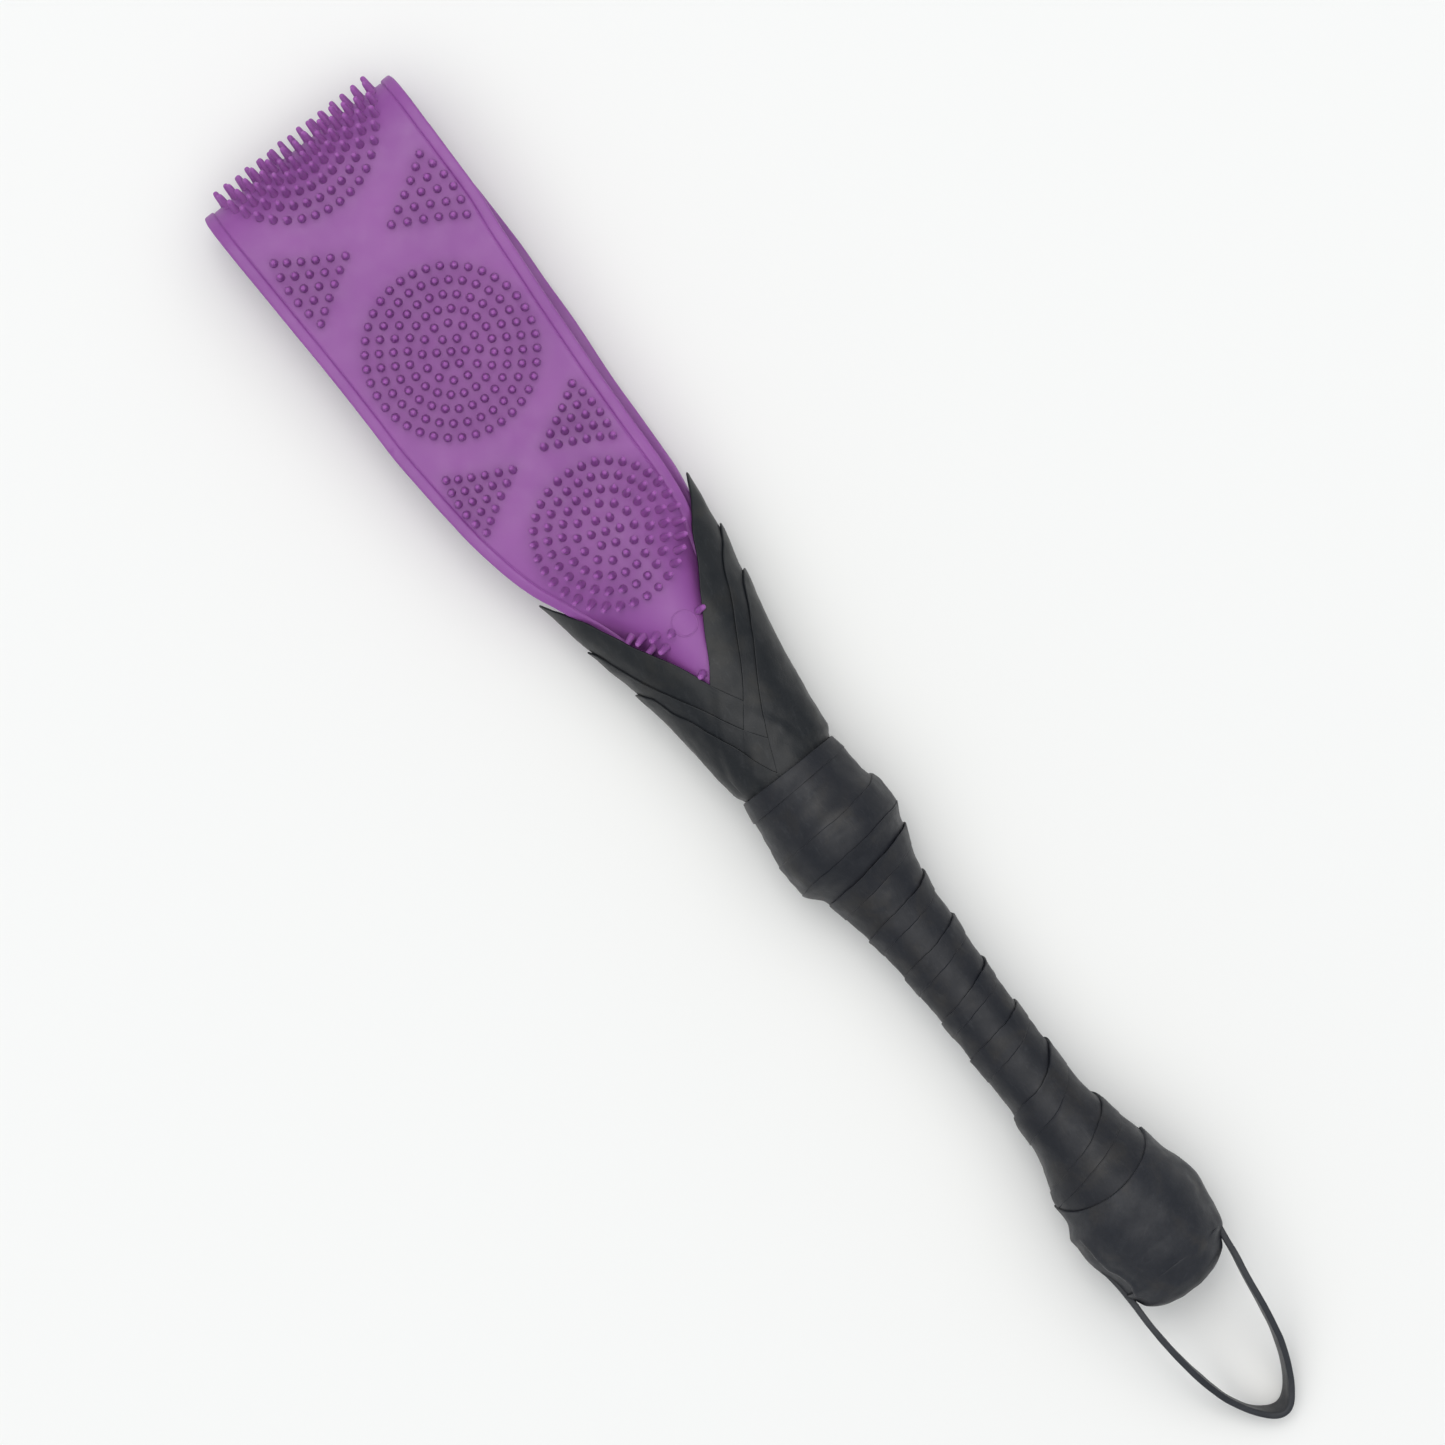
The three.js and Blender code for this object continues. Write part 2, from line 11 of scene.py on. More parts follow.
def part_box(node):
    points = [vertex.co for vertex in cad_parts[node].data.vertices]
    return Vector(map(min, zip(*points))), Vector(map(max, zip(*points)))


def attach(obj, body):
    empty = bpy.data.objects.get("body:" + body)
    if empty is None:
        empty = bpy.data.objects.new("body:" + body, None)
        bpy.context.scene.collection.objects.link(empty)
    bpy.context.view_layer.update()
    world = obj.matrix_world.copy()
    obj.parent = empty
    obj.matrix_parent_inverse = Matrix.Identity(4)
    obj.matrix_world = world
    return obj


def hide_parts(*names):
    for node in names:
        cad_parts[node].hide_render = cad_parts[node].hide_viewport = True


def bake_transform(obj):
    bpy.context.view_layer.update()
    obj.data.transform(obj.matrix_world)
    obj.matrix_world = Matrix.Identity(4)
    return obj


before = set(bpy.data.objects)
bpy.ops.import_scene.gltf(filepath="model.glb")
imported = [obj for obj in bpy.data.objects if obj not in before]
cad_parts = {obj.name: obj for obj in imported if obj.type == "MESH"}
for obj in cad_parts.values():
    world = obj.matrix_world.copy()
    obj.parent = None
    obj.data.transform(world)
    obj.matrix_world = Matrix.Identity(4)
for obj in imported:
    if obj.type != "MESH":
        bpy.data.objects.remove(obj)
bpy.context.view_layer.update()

# ---------------------------------------------------------------- where the CAD frame is
CORE_END, AXIS_Y = 424.0, -0.9
_low, _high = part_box("handle_core")
SHIFT_X = _low.x * 1000 + CORE_END
SHIFT_Y = (_low.y + _high.y) * 500 - AXIS_Y


def place(s, y, z):
    """Points of the row frame, in metres."""
    s, y, z = np.broadcast_arrays(np.asarray(s, float), np.asarray(y, float), np.asarray(z, float))
    return np.stack([(SHIFT_X - s) * 0.001, (y + SHIFT_Y) * 0.001, z * 0.001], -1)


def at(s, y, z):
    return tuple(float(v) for v in place(s, y, z))


# ---------------------------------------------------------------- driving dimensions, as the CAD has them
UNIT = 0.298
BELT_THICK = 2.4
NUB_LENGTH = 5.0
FOLD_HALF, FOLD_REACH = 13.0, 19.0
PIVOT_S = 143.0
BELT_TAIL_END = 262.0
MID_Z_FOLD, MID_Z_HANDLE, HANDLE_START = 18.0, 21.2, 236.6
STRIP_THICK, STRIP_PITCH = 0.62, 0.52
STRAP_THICK, STRAP_WIDE, STRAP_PIVOT = 1.9, 8.6, 432.8

OUTLINE = [
    [0, -116.6, 118.6], [6, -117.6, 119.6], [20, -118, 120], [100, -116.4, 118.5], [200, -117, 116], [260, -114, 116], [300, -112.5, 116.5], [340, -109.5, 115],
    [380, -106, 113], [420, -105, 109], [460, -103, 103], [480, -102, 99], [500, -105.5, 93], [520, -104.5, 90.5], [540, -101, 87], [580, -96.5, 81.5],
    [600, -91, 78.5], [620, -88.5, 74], [660, -80.5, 68], [700, -72.5, 63], [740, -66.5, 60], [770, -63.5, 58], [782, -61.5, 56.5], [792, -58, 54], [800, -59, 55.5], [812, -60.5, 57.5],
    [820, -61, 58], [840, -63.5, 61.5], [860, -70, 64.5], [880, -70.5, 65.5], [900, -62.5, 64], [920, -56.5, 50.5], [940, -50, 46], [960, -47, 42],
    [980, -44, 39], [1000, -43.5, 36.5], [1040, -41.5, 34.5], [1100, -39.5, 33], [1200, -41, 32.5], [1220, -42, 37], [1240, -46.5, 38],
    [1260, -51, 42.5], [1280, -56, 49], [1300, -62, 55.5], [1320, -66.5, 56], [1340, -73.5, 65.5], [1360, -75, 67], [1380, -71.5, 63.5],
    [1400, -68.5, 59], [1415, -65, 57.5], [1424, -57.5, 51], [1434, -52.5, 47], [1441, -43, 39], [1446, -32, 28.5], [1448, -24, 20], [1700, -24, 20],
]
FRONT_EDGE = [
    [0, -116.6, 118.6], [6, -117.6, 119.6], [20, -118, 120], [100, -116.4, 118.5], [145, -115.2, 117.5], [190, -110.4, 116.4], [234, -107, 116], [264, -104.4, 116], [300, -102, 116.5], [351, -98.6, 114.2], [390, -96.8, 111.5], [420, -95.4, 108.8],
    [454, -94.4, 103.5], [471, -93.6, 100], [496, -91.4, 93], [510, -89.6, 87.5], [522, -87.2, 82], [547, -79.5, 72], [572, -71.5, 62.5], [600, -64, 56.5], [660, -54, 52], [720, -44, 40], [780, -38.5, 34.5], [880, -38, 32],
]
BACK_EDGE = [
    [0, -116.6, 118.6], [6, -117.6, 119.6], [20, -118, 120], [100, -116.6, 118.5], [150, -117.2, 117], [200, -117, 115], [260, -114, 113.5], [300, -112.5, 113], [380, -106.3, 109], [420, -105, 106],
    [460, -103.2, 100], [480, -102.2, 96], [500, -99.5, 90], [520, -95.5, 82], [540, -89.5, 74], [560, -82.5, 66.5], [600, -69.5, 56.5], [660, -56, 51], [720, -45, 40], [780, -38.5, 34.5], [880, -38, 32],
]
BELT_CENTRE = [[13, 13], [40, 12.5], [70, 11.1], [92, 9.7], [104, 9.1], [110, 9.1], [118, 9.8], [127, 11.2], [136, 12.6], [144, 13.7], [152, 14.6], [160, 15.05], [168, 15.15], [180, 14.9], [200, 13.4], [220, 11.8], [240, 10.9], [270, 10.9]]
BELT_RIM = [[13, 13], [40, 12.5], [70, 11.1], [92, 9.7], [106, 9.1], [120, 8.9], [132, 8.4], [143, 7.0], [150, 6.3], [165, 4.8], [180, 3.9], [200, 3.6], [220, 3.5], [270, 3.5]]
RIDGE_LOW = [[13, 40], [120, 39], [143, 34], [150, 32], [158, 29], [165, 26], [172, 23.2], [180, 20.5], [200, 18.5], [220, 15], [240, 13], [270, 13]]
RIDGE_HIGH = [[13, 40], [120, 42], [143, 41], [150, 39.5], [158, 36], [165, 31.5], [172, 25.5], [180, 20.5], [200, 18], [220, 15], [240, 13], [270, 13]]
THROAT_HALF = [[140, 11.8], [150, 12.8], [165, 15.2], [180, 15.7], [200, 14.2], [220, 12.6], [230, 11.9], [236.3, 11.3]]
HANDLE_HALF = [
    [236.6, 15.6], [242, 16.6], [250, 18.6], [256, 20.6], [262, 21.6], [266, 20.8], [271, 18.0], [276, 15.4], [281, 13.6], [288, 12.4], [300, 11.6], [330, 11.0],
    [358, 11.1], [366, 12.2], [376, 14.4], [386, 17.6], [394, 20.2], [402, 21.5], [407, 21.6], [412, 20.8], [419, 19.4], [424.3, 17.4], [427.4, 15.8], [429.4, 13.0], [430.9, 9.6], [431.5, 7.2],
]
LEAD = {
    "flap_left_1": [[495.5, -106], [539, -79.2], [580, -56], [605, -39], [632, -22], [659, -5.8], [677, 6.7], [700, 21], [722, 34]],
    "flap_right_1": [[509.3, 92], [524.7, 85.4], [551.6, 69.3], [580, 56], [616, 37], [652, 17.4], [677, 7], [711, -9.8], [735, -22]],
    "flap_left_2": [[556.5, -101.5], [580, -88], [607, -72], [648, -50], [684, -28], [711, -9.4], [734, 8.5], [758, 25]],
    "flap_right_2": [[576.5, 81], [591, 79], [623, 67.5], [659, 49.6], [694.7, 28.2], [730.5, 10.3], [753, -5], [765, -14]],
    "flap_left_3": [[606, -93], [616, -86.4], [641, -73.8], [669.7, -56], [694.7, -39.8], [725, -22], [752, -7.6], [780, 4.9], [789, 9]],
    "flap_right_3": [[640, 70.2], [652, 65.7], [677, 58.6], [695, 48], [712.6, 40.7], [748.4, 24.6], [766, 18.3], [785, 10], [789, 7]],
}
FLAP_ORDER = ["flap_left_1", "flap_right_1", "flap_left_2", "flap_right_2", "flap_left_3", "flap_right_3"]
FLAP_END = {"flap_left_1": 234.0, "flap_right_1": 235.0, "flap_left_2": 237.4, "flap_right_2": 237.5, "flap_left_3": 237.6, "flap_right_3": 237.6}


# ---------------------------------------------------------------- curves through the tables
def curve(rows):
    x, y = np.array([r[0] for r in rows], float), np.array([r[1] for r in rows], float)
    d = np.diff(y) / np.diff(x)
    m = np.zeros(len(x))
    for i in range(1, len(x) - 1):
        m[i] = 0 if d[i - 1] * d[i] <= 0 else 2 * d[i - 1] * d[i] / (d[i - 1] + d[i])

    def f(q):
        q = np.clip(np.asarray(q, float), x[0], x[-1])
        i = np.clip(np.searchsorted(x, q, side="right") - 1, 0, len(x) - 2)
        h = x[i + 1] - x[i]
        t = (q - x[i]) / h
        return (2 * t**3 - 3 * t**2 + 1) * y[i] + (t**3 - 2 * t**2 + t) * h * m[i] + (-2 * t**3 + 3 * t**2) * y[i + 1] + (t**3 - t**2) * h * m[i + 1]

    return f


def in_mm(rows, k):
    return curve([[r[0] * UNIT, r[k] * UNIT] for r in rows])


low_side, high_side = in_mm(OUTLINE, 1), in_mm(OUTLINE, 2)
edge = {1: (in_mm(FRONT_EDGE, 1), in_mm(FRONT_EDGE, 2)), -1: (in_mm(BACK_EDGE, 1), in_mm(BACK_EDGE, 2))}
belt_centre, belt_rim, throat_half, handle_half = curve(BELT_CENTRE), curve(BELT_RIM), curve(THROAT_HALF), curve(HANDLE_HALF)
ridge_low, ridge_high = curve(RIDGE_LOW), curve(RIDGE_HIGH)


def centre_y(s):
    return (low_side(s) + high_side(s)) / 2


def half_wide(s):
    return (high_side(s) - low_side(s)) / 2


def mid_z(s):
    return MID_Z_FOLD + (MID_Z_HANDLE - MID_Z_FOLD) * np.clip(np.asarray(s, float) / HANDLE_START, 0, 1)


def lerp(a, b, t):
    return a + (b - a) * t


def step(x, a, b):
    t = np.clip((np.asarray(x, float) - a) / (b - a), 0, 1)
    return t * t * (3 - 2 * t)


def lumps(points, scale, amount, seed):
    """A small smooth random height at each point (metres in, millimetres out), the same on every run."""
    shift = Vector((seed * 3.7, seed * -2.1, seed * 5.3))
    flat = points.reshape(-1, 3) / (scale * 0.001)
    return np.array([noise.noise(Vector(p) + shift) for p in flat]).reshape(points.shape[:-1]) * amount


# ---------------------------------------------------------------- materials
def nodes_of(name):
    m = bpy.data.materials.new(name)
    m.use_nodes = True
    t = m.node_tree
    t.nodes.clear()
    out, sh = t.nodes.new("ShaderNodeOutputMaterial"), t.nodes.new("ShaderNodeBsdfPrincipled")
    t.links.new(sh.outputs[0], out.inputs[0])
    return m, t, sh


def coords(t, uv):
    if uv:
        n = t.nodes.new("ShaderNodeUVMap")
        n.uv_map = "flat"
        return n.outputs[0]
    return t.nodes.new("ShaderNodeTexCoord").outputs["Object"]


def noise_node(t, vector, scale, detail=3.0, rough=0.5, distort=0.0):
    n = t.nodes.new("ShaderNodeTexNoise")
    n.inputs["Scale"].default_value = scale
    n.inputs["Detail"].default_value = detail
    n.inputs["Roughness"].default_value = rough
    n.inputs["Distortion"].default_value = distort
    t.links.new(vector, n.inputs["Vector"])
    return n.outputs["Fac"]


def ramp(t, fac, stops):
    n = t.nodes.new("ShaderNodeValToRGB")
    e = n.color_ramp.elements
    while len(e) < len(stops):
        e.new(0.5)
    for i, (p, c) in enumerate(stops):
        e[i].position = p
        e[i].color = (*c, 1)
    t.links.new(fac, n.inputs[0])
    return n.outputs[0]


def spread(t, fac, low, high, a=0.3, b=0.7):
    n = t.nodes.new("ShaderNodeMapRange")
    for k, v in (("From Min", a), ("From Max", b), ("To Min", low), ("To Max", high)):
        n.inputs[k].default_value = v
    t.links.new(fac, n.inputs[0])
    return n.outputs[0]


def bump(t, height, sh, strength, distance, before=None):
    n = t.nodes.new("ShaderNodeBump")
    n.inputs["Strength"].default_value = strength
    n.inputs["Distance"].default_value = distance
    t.links.new(height, n.inputs["Height"])
    if before is not None:
        t.links.new(before, n.inputs["Normal"])
    if sh is not None:
        t.links.new(n.outputs[0], sh.inputs["Normal"])
    return n.outputs[0]


def stretch(t, vector, sx, sy, sz, rot=0.0):
    n = t.nodes.new("ShaderNodeMapping")
    n.inputs["Scale"].default_value = (sx, sy, sz)
    n.inputs["Rotation"].default_value = (0, 0, rot)
    t.links.new(vector, n.inputs["Vector"])
    return n.outputs[0]


def linear(r, g, b):
    return tuple((v / 255 / 12.92) if v / 255 <= 0.04045 else ((v / 255 + 0.055) / 1.055) ** 2.4 for v in (r, g, b))


def silicone(name, low, high, through, scale, shine=0.42, rough=(0.40, 0.54)):
    """Soft matt silicone; through is how much light passes inside it."""
    m, t, sh = nodes_of(name)
    v = coords(t, True)
    wide = noise_node(t, v, 38, 2)
    sh.inputs["Subsurface Weight"].default_value = through
    sh.inputs["Subsurface Radius"].default_value = (1.0, 0.5, 1.0)
    sh.inputs["Subsurface Scale"].default_value = scale
    sh.inputs["Specular IOR Level"].default_value = shine
    a, b = linear(*low), linear(*high)
    t.links.new(ramp(t, wide, [(0.3, a), (0.7, b)]), sh.inputs["Base Color"])
    fine = noise_node(t, v, 2600, 3, 0.6)
    t.links.new(spread(t, noise_node(t, v, 160, 3), *rough), sh.inputs["Roughness"])
    bump(t, fine, sh, 0.10, 0.00025)
    return m


def rubber(name, dark, pale, brown, rough=(0.42, 0.60), streak=0.0, uv=False, seed=0.0):
    """Matt black inner-tube rubber with a brownish bloom, faint streaks and fine grain."""
    m, t, sh = nodes_of(name)
    v = stretch(t, coords(t, uv), 1, 1, 1, seed)
    cloud = noise_node(t, v, 85, 4, 0.55, 0.4)
    base = ramp(t, cloud, [(0.34, dark), (0.52, pale), (0.74, brown)])
    speck = noise_node(t, v, 900, 2, 0.6)
    mix = t.nodes.new("ShaderNodeMix")
    mix.data_type = "RGBA"
    mix.blend_type = "MULTIPLY"
    mix.inputs[0].default_value = 0.55
    t.links.new(base, mix.inputs[6])
    t.links.new(ramp(t, speck, [(0.3, (0.62, 0.62, 0.64)), (0.68, (1.15, 1.13, 1.08))]), mix.inputs[7])
    dust = t.nodes.new("ShaderNodeMix")
    dust.data_type = "RGBA"
    dust.inputs[7].default_value = (0.05, 0.053, 0.058, 1)
    t.links.new(spread(t, noise_node(t, stretch(t, v, 160, 420, 300), 1.0, 8, 0.78, 0.8), 0.0, 0.30, 0.55, 0.72), dust.inputs[0])
    t.links.new(mix.outputs[2], dust.inputs[6])
    t.links.new(dust.outputs[2], sh.inputs["Base Color"])
    t.links.new(spread(t, noise_node(t, v, 140, 4, 0.6), rough[0], rough[1]), sh.inputs["Roughness"])
    sh.inputs["Specular IOR Level"].default_value = 0.40
    lines = noise_node(t, stretch(t, v, 60, 900, 900), 1.0, 3, 0.6)
    first = bump(t, lines, None, 0.10 + streak, 0.0002)
    grain = noise_node(t, v, 1900, 4, 0.65)
    bump(t, grain, sh, 0.22, 0.00022, first)
    return m


def wood():
    m, t, sh = nodes_of("ash_wood")
    v = coords(t, False)
    n = noise_node(t, stretch(t, v, 30, 420, 420), 1.0, 4, 0.6, 0.6)
    t.links.new(ramp(t, n, [(0.3, (0.30, 0.18, 0.085)), (0.55, (0.46, 0.30, 0.155)), (0.75, (0.56, 0.39, 0.22))]), sh.inputs["Base Color"])
    t.links.new(spread(t, n, 0.5, 0.68), sh.inputs["Roughness"])
    bump(t, n, sh, 0.2, 0.0002)
    return m


def twine():
    m, t, sh = nodes_of("twine")
    v = coords(t, False)
    w = t.nodes.new("ShaderNodeTexWave")
    w.bands_direction = "X"
    w.inputs["Scale"].default_value = 190
    w.inputs["Distortion"].default_value = 1.2
    t.links.new(v, w.inputs["Vector"])
    t.links.new(ramp(t, w.outputs["Fac"], [(0.1, (0.30, 0.26, 0.19)), (0.6, (0.62, 0.57, 0.46))]), sh.inputs["Base Color"])
    sh.inputs["Roughness"].default_value = 0.85
    bump(t, w.outputs["Fac"], sh, 0.6, 0.0005)
    return m


DARK, PALE, BROWN = (0.0045, 0.0056, 0.0100), (0.0080, 0.0088, 0.0132), (0.0190, 0.0172, 0.0165)
M_SILICONE = silicone("silicone", (137, 74, 147), (145, 81, 154), 0.25, 0.0022)
# The nubs use the belt's silicone with painted light: a lighter base colour stands in for light on their shaded steep
# sides. They also have more real translucency and less shine.
M_NUB_PAINTED_LIGHTER = silicone("silicone_nubs_painted_lighter", (141, 84, 149), (148, 89, 155), 0.6, 0.0028, 0.26, (0.52, 0.66))
M_STRIP = rubber("strip_rubber", (0.0035, 0.0048, 0.0070), (0.0062, 0.0075, 0.0096), (0.0150, 0.0140, 0.0125), (0.38, 0.52), 0.05, seed=0.3)
M_WRAP = rubber("wrap_rubber", DARK, PALE, BROWN, (0.42, 0.60), 0.08)
M_POMMEL = rubber("pommel_rubber", (0.0062, 0.0076, 0.0130), (0.0125, 0.0137, 0.0190), (0.0280, 0.0256, 0.0248), (0.44, 0.62), 0.05, seed=1.1)
M_STRAP = rubber("strap_rubber", (0.015, 0.017, 0.022), (0.022, 0.024, 0.030), (0.030, 0.031, 0.036), (0.42, 0.58), 0.0, uv=True)
M_PADDING = rubber("padding_rubber", (0.03, 0.03, 0.03), (0.05, 0.05, 0.05), (0.07, 0.065, 0.06), (0.7, 0.85), 0.2)
M_WOOD, M_TWINE = wood(), twine()


# ---------------------------------------------------------------- mesh building
def build(name, points, faces, material, uv=None, sharp=48):
    """A mesh object from points in metres and arrays of quads or triangles; closed meshes are turned to face outwards."""
    points = np.asarray(points, float).reshape(-1, 3)
    faces = [np.asarray(f, np.int64) for f in faces if len(f)]
    volume = 0.0
    for f in faces:
        a = points[f[:, 0]]
        for k in range(1, f.shape[1] - 1):
            volume += float(np.einsum("ij,ij->i", a, np.cross(points[f[:, k]], points[f[:, k + 1]])).sum())
    if volume < 0:
        faces = [f[:, ::-1] for f in faces]
    me = bpy.data.meshes.new(name)
    me.vertices.add(len(points))
    me.vertices.foreach_set("co", points.astype(np.float32).ravel())
    idx = np.concatenate([f.ravel() for f in faces])
    total = np.concatenate([np.full(len(f), f.shape[1]) for f in faces])
    start = np.concatenate([[0], np.cumsum(total)[:-1]])
    me.loops.add(len(idx))
    me.loops.foreach_set("vertex_index", idx.astype(np.int32))
    me.polygons.add(len(total))
    me.polygons.foreach_set("loop_start", start.astype(np.int32))
    me.polygons.foreach_set("loop_total", total.astype(np.int32))
    me.polygons.foreach_set("use_smooth", np.ones(len(total), bool))
    if uv is not None:
        layer = me.uv_layers.new(name="flat")
        layer.data.foreach_set("uv", np.asarray(uv, np.float32).reshape(-1, 2)[idx].ravel())
    me.update(calc_edges=True)
    me.validate()
    if sharp:
        me.set_sharp_from_angle(angle=math.radians(sharp))
    me.materials.append(material)
    ob = bpy.data.objects.new(name, me)
    bpy.context.scene.collection.objects.link(ob)
    return ob


def grid(rows, cols, offset=0, wrap_rows=False, wrap_cols=False):
    r, c = np.arange(rows if wrap_rows else rows - 1), np.arange(cols if wrap_cols else cols - 1)
    r, c = np.meshgrid(r, c, indexing="ij")
    r2, c2 = (r + 1) % rows, (c + 1) % cols
    return np.stack([r * cols + c, r * cols + c2, r2 * cols + c2, r2 * cols + c], -1).reshape(-1, 4) + offset


def tube(name, p, material, uv=None, sharp=48):
    """A closed solid from rings p[row, point]; the first and last rings get flat caps."""
    rows, cols = p.shape[:2]
    flat = p.reshape(-1, 3)
    points = np.concatenate([flat, p[0].mean(0)[None], p[-1].mean(0)[None]])
    c = np.arange(cols)
    n = rows * cols
    cap0 = np.stack([(c + 1) % cols, c, np.full(cols, n)], -1)
    cap1 = np.stack([(rows - 1) * cols + c, (rows - 1) * cols + (c + 1) % cols, np.full(cols, n + 1)], -1)
    if uv is not None:
        uv = np.concatenate([uv.reshape(-1, 2), uv[0].mean(0)[None], uv[-1].mean(0)[None]])
    return build(name, points, [grid(rows, cols, wrap_cols=True), np.concatenate([cap0, cap1])], material, uv, sharp)


# ---------------------------------------------------------------- the belt's surface
THROAT_DROP = curve([[0, 0], [0.1, 0.0137], [0.2, 0.0556], [0.3, 0.129], [0.4, 0.241], [0.5, 0.407], [0.56, 0.549], [0.64, 0.765], [0.7, 0.895], [0.8, 0.982], [0.9, 0.998], [1.0, 1.0]])


def belt_height(s, y):
    across = y - centre_y(s)
    x = np.minimum(1, np.abs(across) / np.where(across < 0, ridge_low(s), ridge_high(s)))
    soft, tight = 0.5 * (1 + np.cos(np.pi * x**1.3)), 1 - THROAT_DROP(x)
    return lerp(belt_rim(s), belt_centre(s), lerp(soft, tight, step(s, 146, 172)))


# The fold is half an ellipse: a quarter of it, as the way along from the crest and the angle at the ellipse's centre.
_t = np.linspace(0, math.pi / 2, 400)
_way = np.concatenate([[0], np.cumsum(np.hypot(np.diff(FOLD_REACH * (1 - np.cos(_t))), np.diff(FOLD_HALF * np.sin(_t))))])
FOLD_ARC = float(_way[-1])


class Section:
    """The outer face of the belt on one line across it. q is the way along the belt from the fold's crest: positive on the front leg."""

    def __init__(self, q):
        if abs(q) <= FOLD_ARC:
            t = math.copysign(float(np.interp(abs(q), _way, _t)), q)
            out = (-math.cos(t) / FOLD_REACH, math.sin(t) / FOLD_HALF)
            size = math.hypot(*out)
            reach = FOLD_REACH * (1 - math.cos(t))
            self.y = np.linspace(float(low_side(reach)), float(high_side(reach)), 121)
            self.h = np.zeros(121)
            self.s, self.z, self.up = reach, float(mid_z(FOLD_REACH)) + FOLD_HALF * math.sin(t), (out[0] / size, out[1] / size)
            self.station = reach
        else:
            side = 1 if q > 0 else -1
            self.s = self.station = FOLD_REACH + abs(q) - FOLD_ARC
            lo, hi = edge[side]
            self.y = np.linspace(float(lo(self.s)), float(hi(self.s)), 361)
            self.h = belt_height(self.s, self.y)
            self.z, self.up = float(mid_z(self.s)), (0.0, float(side))
        d = np.hypot(np.diff(self.y), np.diff(self.h))
        self.arc = np.concatenate([[0], np.cumsum(d)])
        self.length = float(self.arc[-1])
        self.ty, self.th = np.gradient(self.y, self.arc), np.gradient(self.h, self.arc)

    def point(self, a, n=0.0):
        """(s, y, z) at the way a along the section from its low edge, n out of the face."""
        a = np.asarray(a, float)
        n = np.broadcast_to(np.asarray(n, float), a.shape)
        y, h = np.interp(a, self.arc, self.y), np.interp(a, self.arc, self.h)
        ty, th = np.interp(a, self.arc, self.ty), np.interp(a, self.arc, self.th)
        k = np.hypot(ty, th)
        y, h = y - n * th / k, h + n * ty / k
        return np.stack([self.s + self.up[0] * h, y, self.z + self.up[1] * h], -1)

    def at_y(self, y):
        return float(np.interp(y, self.y, self.arc))


# ---------------------------------------------------------------- the belt's strip: rims, grooves, rounded edges
RIM = [(0.0, -0.9), (0.02, -0.38), (0.10, 0.05), (0.28, 0.33), (0.6, 0.47), (1.2, 0.51), (2.2, 0.51), (2.95, 0.48), (3.26, 0.36), (3.46, 0.06), (3.58, -0.14), (3.68, -0.19), (3.79, -0.14), (3.92, -0.03), (4.2, 0.0), (4.8, 0.0)]
UNDER = [(0.02, -1.6), (0.14, -2.05), (0.4, -2.32), (0.8, -2.4), (3.0, -2.4), (3.5, -2.36), (3.7, -2.2), (3.9, -2.36), (4.3, -2.4)]
INNER = 44


def strip_rows():
    legs = list(np.arange(BELT_TAIL_END, FOLD_REACH, -1.3)) + [FOLD_REACH]
    legs = sorted(set([round(float(s), 3) for s in legs] + [round(float(s), 3) for s in np.arange(87.0, 92.0, 0.4)]), reverse=True)
    front = [FOLD_ARC + s - FOLD_REACH for s in legs]
    return front + [FOLD_ARC - k * FOLD_ARC / 26 for k in range(1, 52)] + [-q for q in reversed(front)]


def make_strip():
    rows, uvs = [], []
    for q in strip_rows():
        sec = Section(q)
        L = sec.length
        a = [e for e, _ in RIM] + list(np.linspace(4.8, L - 4.8, INNER + 2)[1:-1]) + [L - e for e, _ in reversed(RIM)]
        n = [h for _, h in RIM] + [0.0] * INNER + [h for _, h in reversed(RIM)]
        a += [L - e for e, _ in UNDER] + list(np.linspace(L - 4.3, 4.3, 26)[1:-1]) + [e for e, _ in reversed(UNDER)]
        n += [h for _, h in UNDER] + [-2.4] * 24 + [h for _, h in reversed(UNDER)]
        a, n = np.array(a), np.array(n)
        if q > 0:  # a small nick in the rim
            near = math.exp(-(((sec.station - 89.4) / 0.8) ** 2))
            n = np.where(a > L - 1.6, n - 0.55 * near * np.clip((a - (L - 1.6)) / 1.0, 0, 1) * (n > -1.2), n)
        rows.append(sec.point(a, n))
        c = a - sec.at_y(0.0 if abs(q) < FOLD_ARC else float(centre_y(sec.station)))
        uvs.append(np.stack([np.full(len(a), q), c], -1))
    p = np.array(rows)
    pts = place(p[..., 0], p[..., 1], p[..., 2])
    wave = lumps(pts, 22, 0.22, 3)
    pts[..., 2] += wave * 0.001 * np.clip((pts[..., 2] * 1000 - 6) / 4, 0, 1)
    return tube("belt_strip", pts, M_SILICONE, np.array(uvs) * 0.001, 60)


# ---------------------------------------------------------------- the throat's crossed strips: surfaces
def pitch_at(s):
    return lerp(STRIP_PITCH, 0.40, step(s, 215, 236))


def side_count(s):
    return 1 + step(s, 166, 176) + step(s, 182, 193)


def throat_wide(s):
    pull = 0.9 * step(s, 232.5, 236.8)
    return half_wide(s) - STRIP_THICK - pitch_at(s) * (side_count(s) - 1) - pull


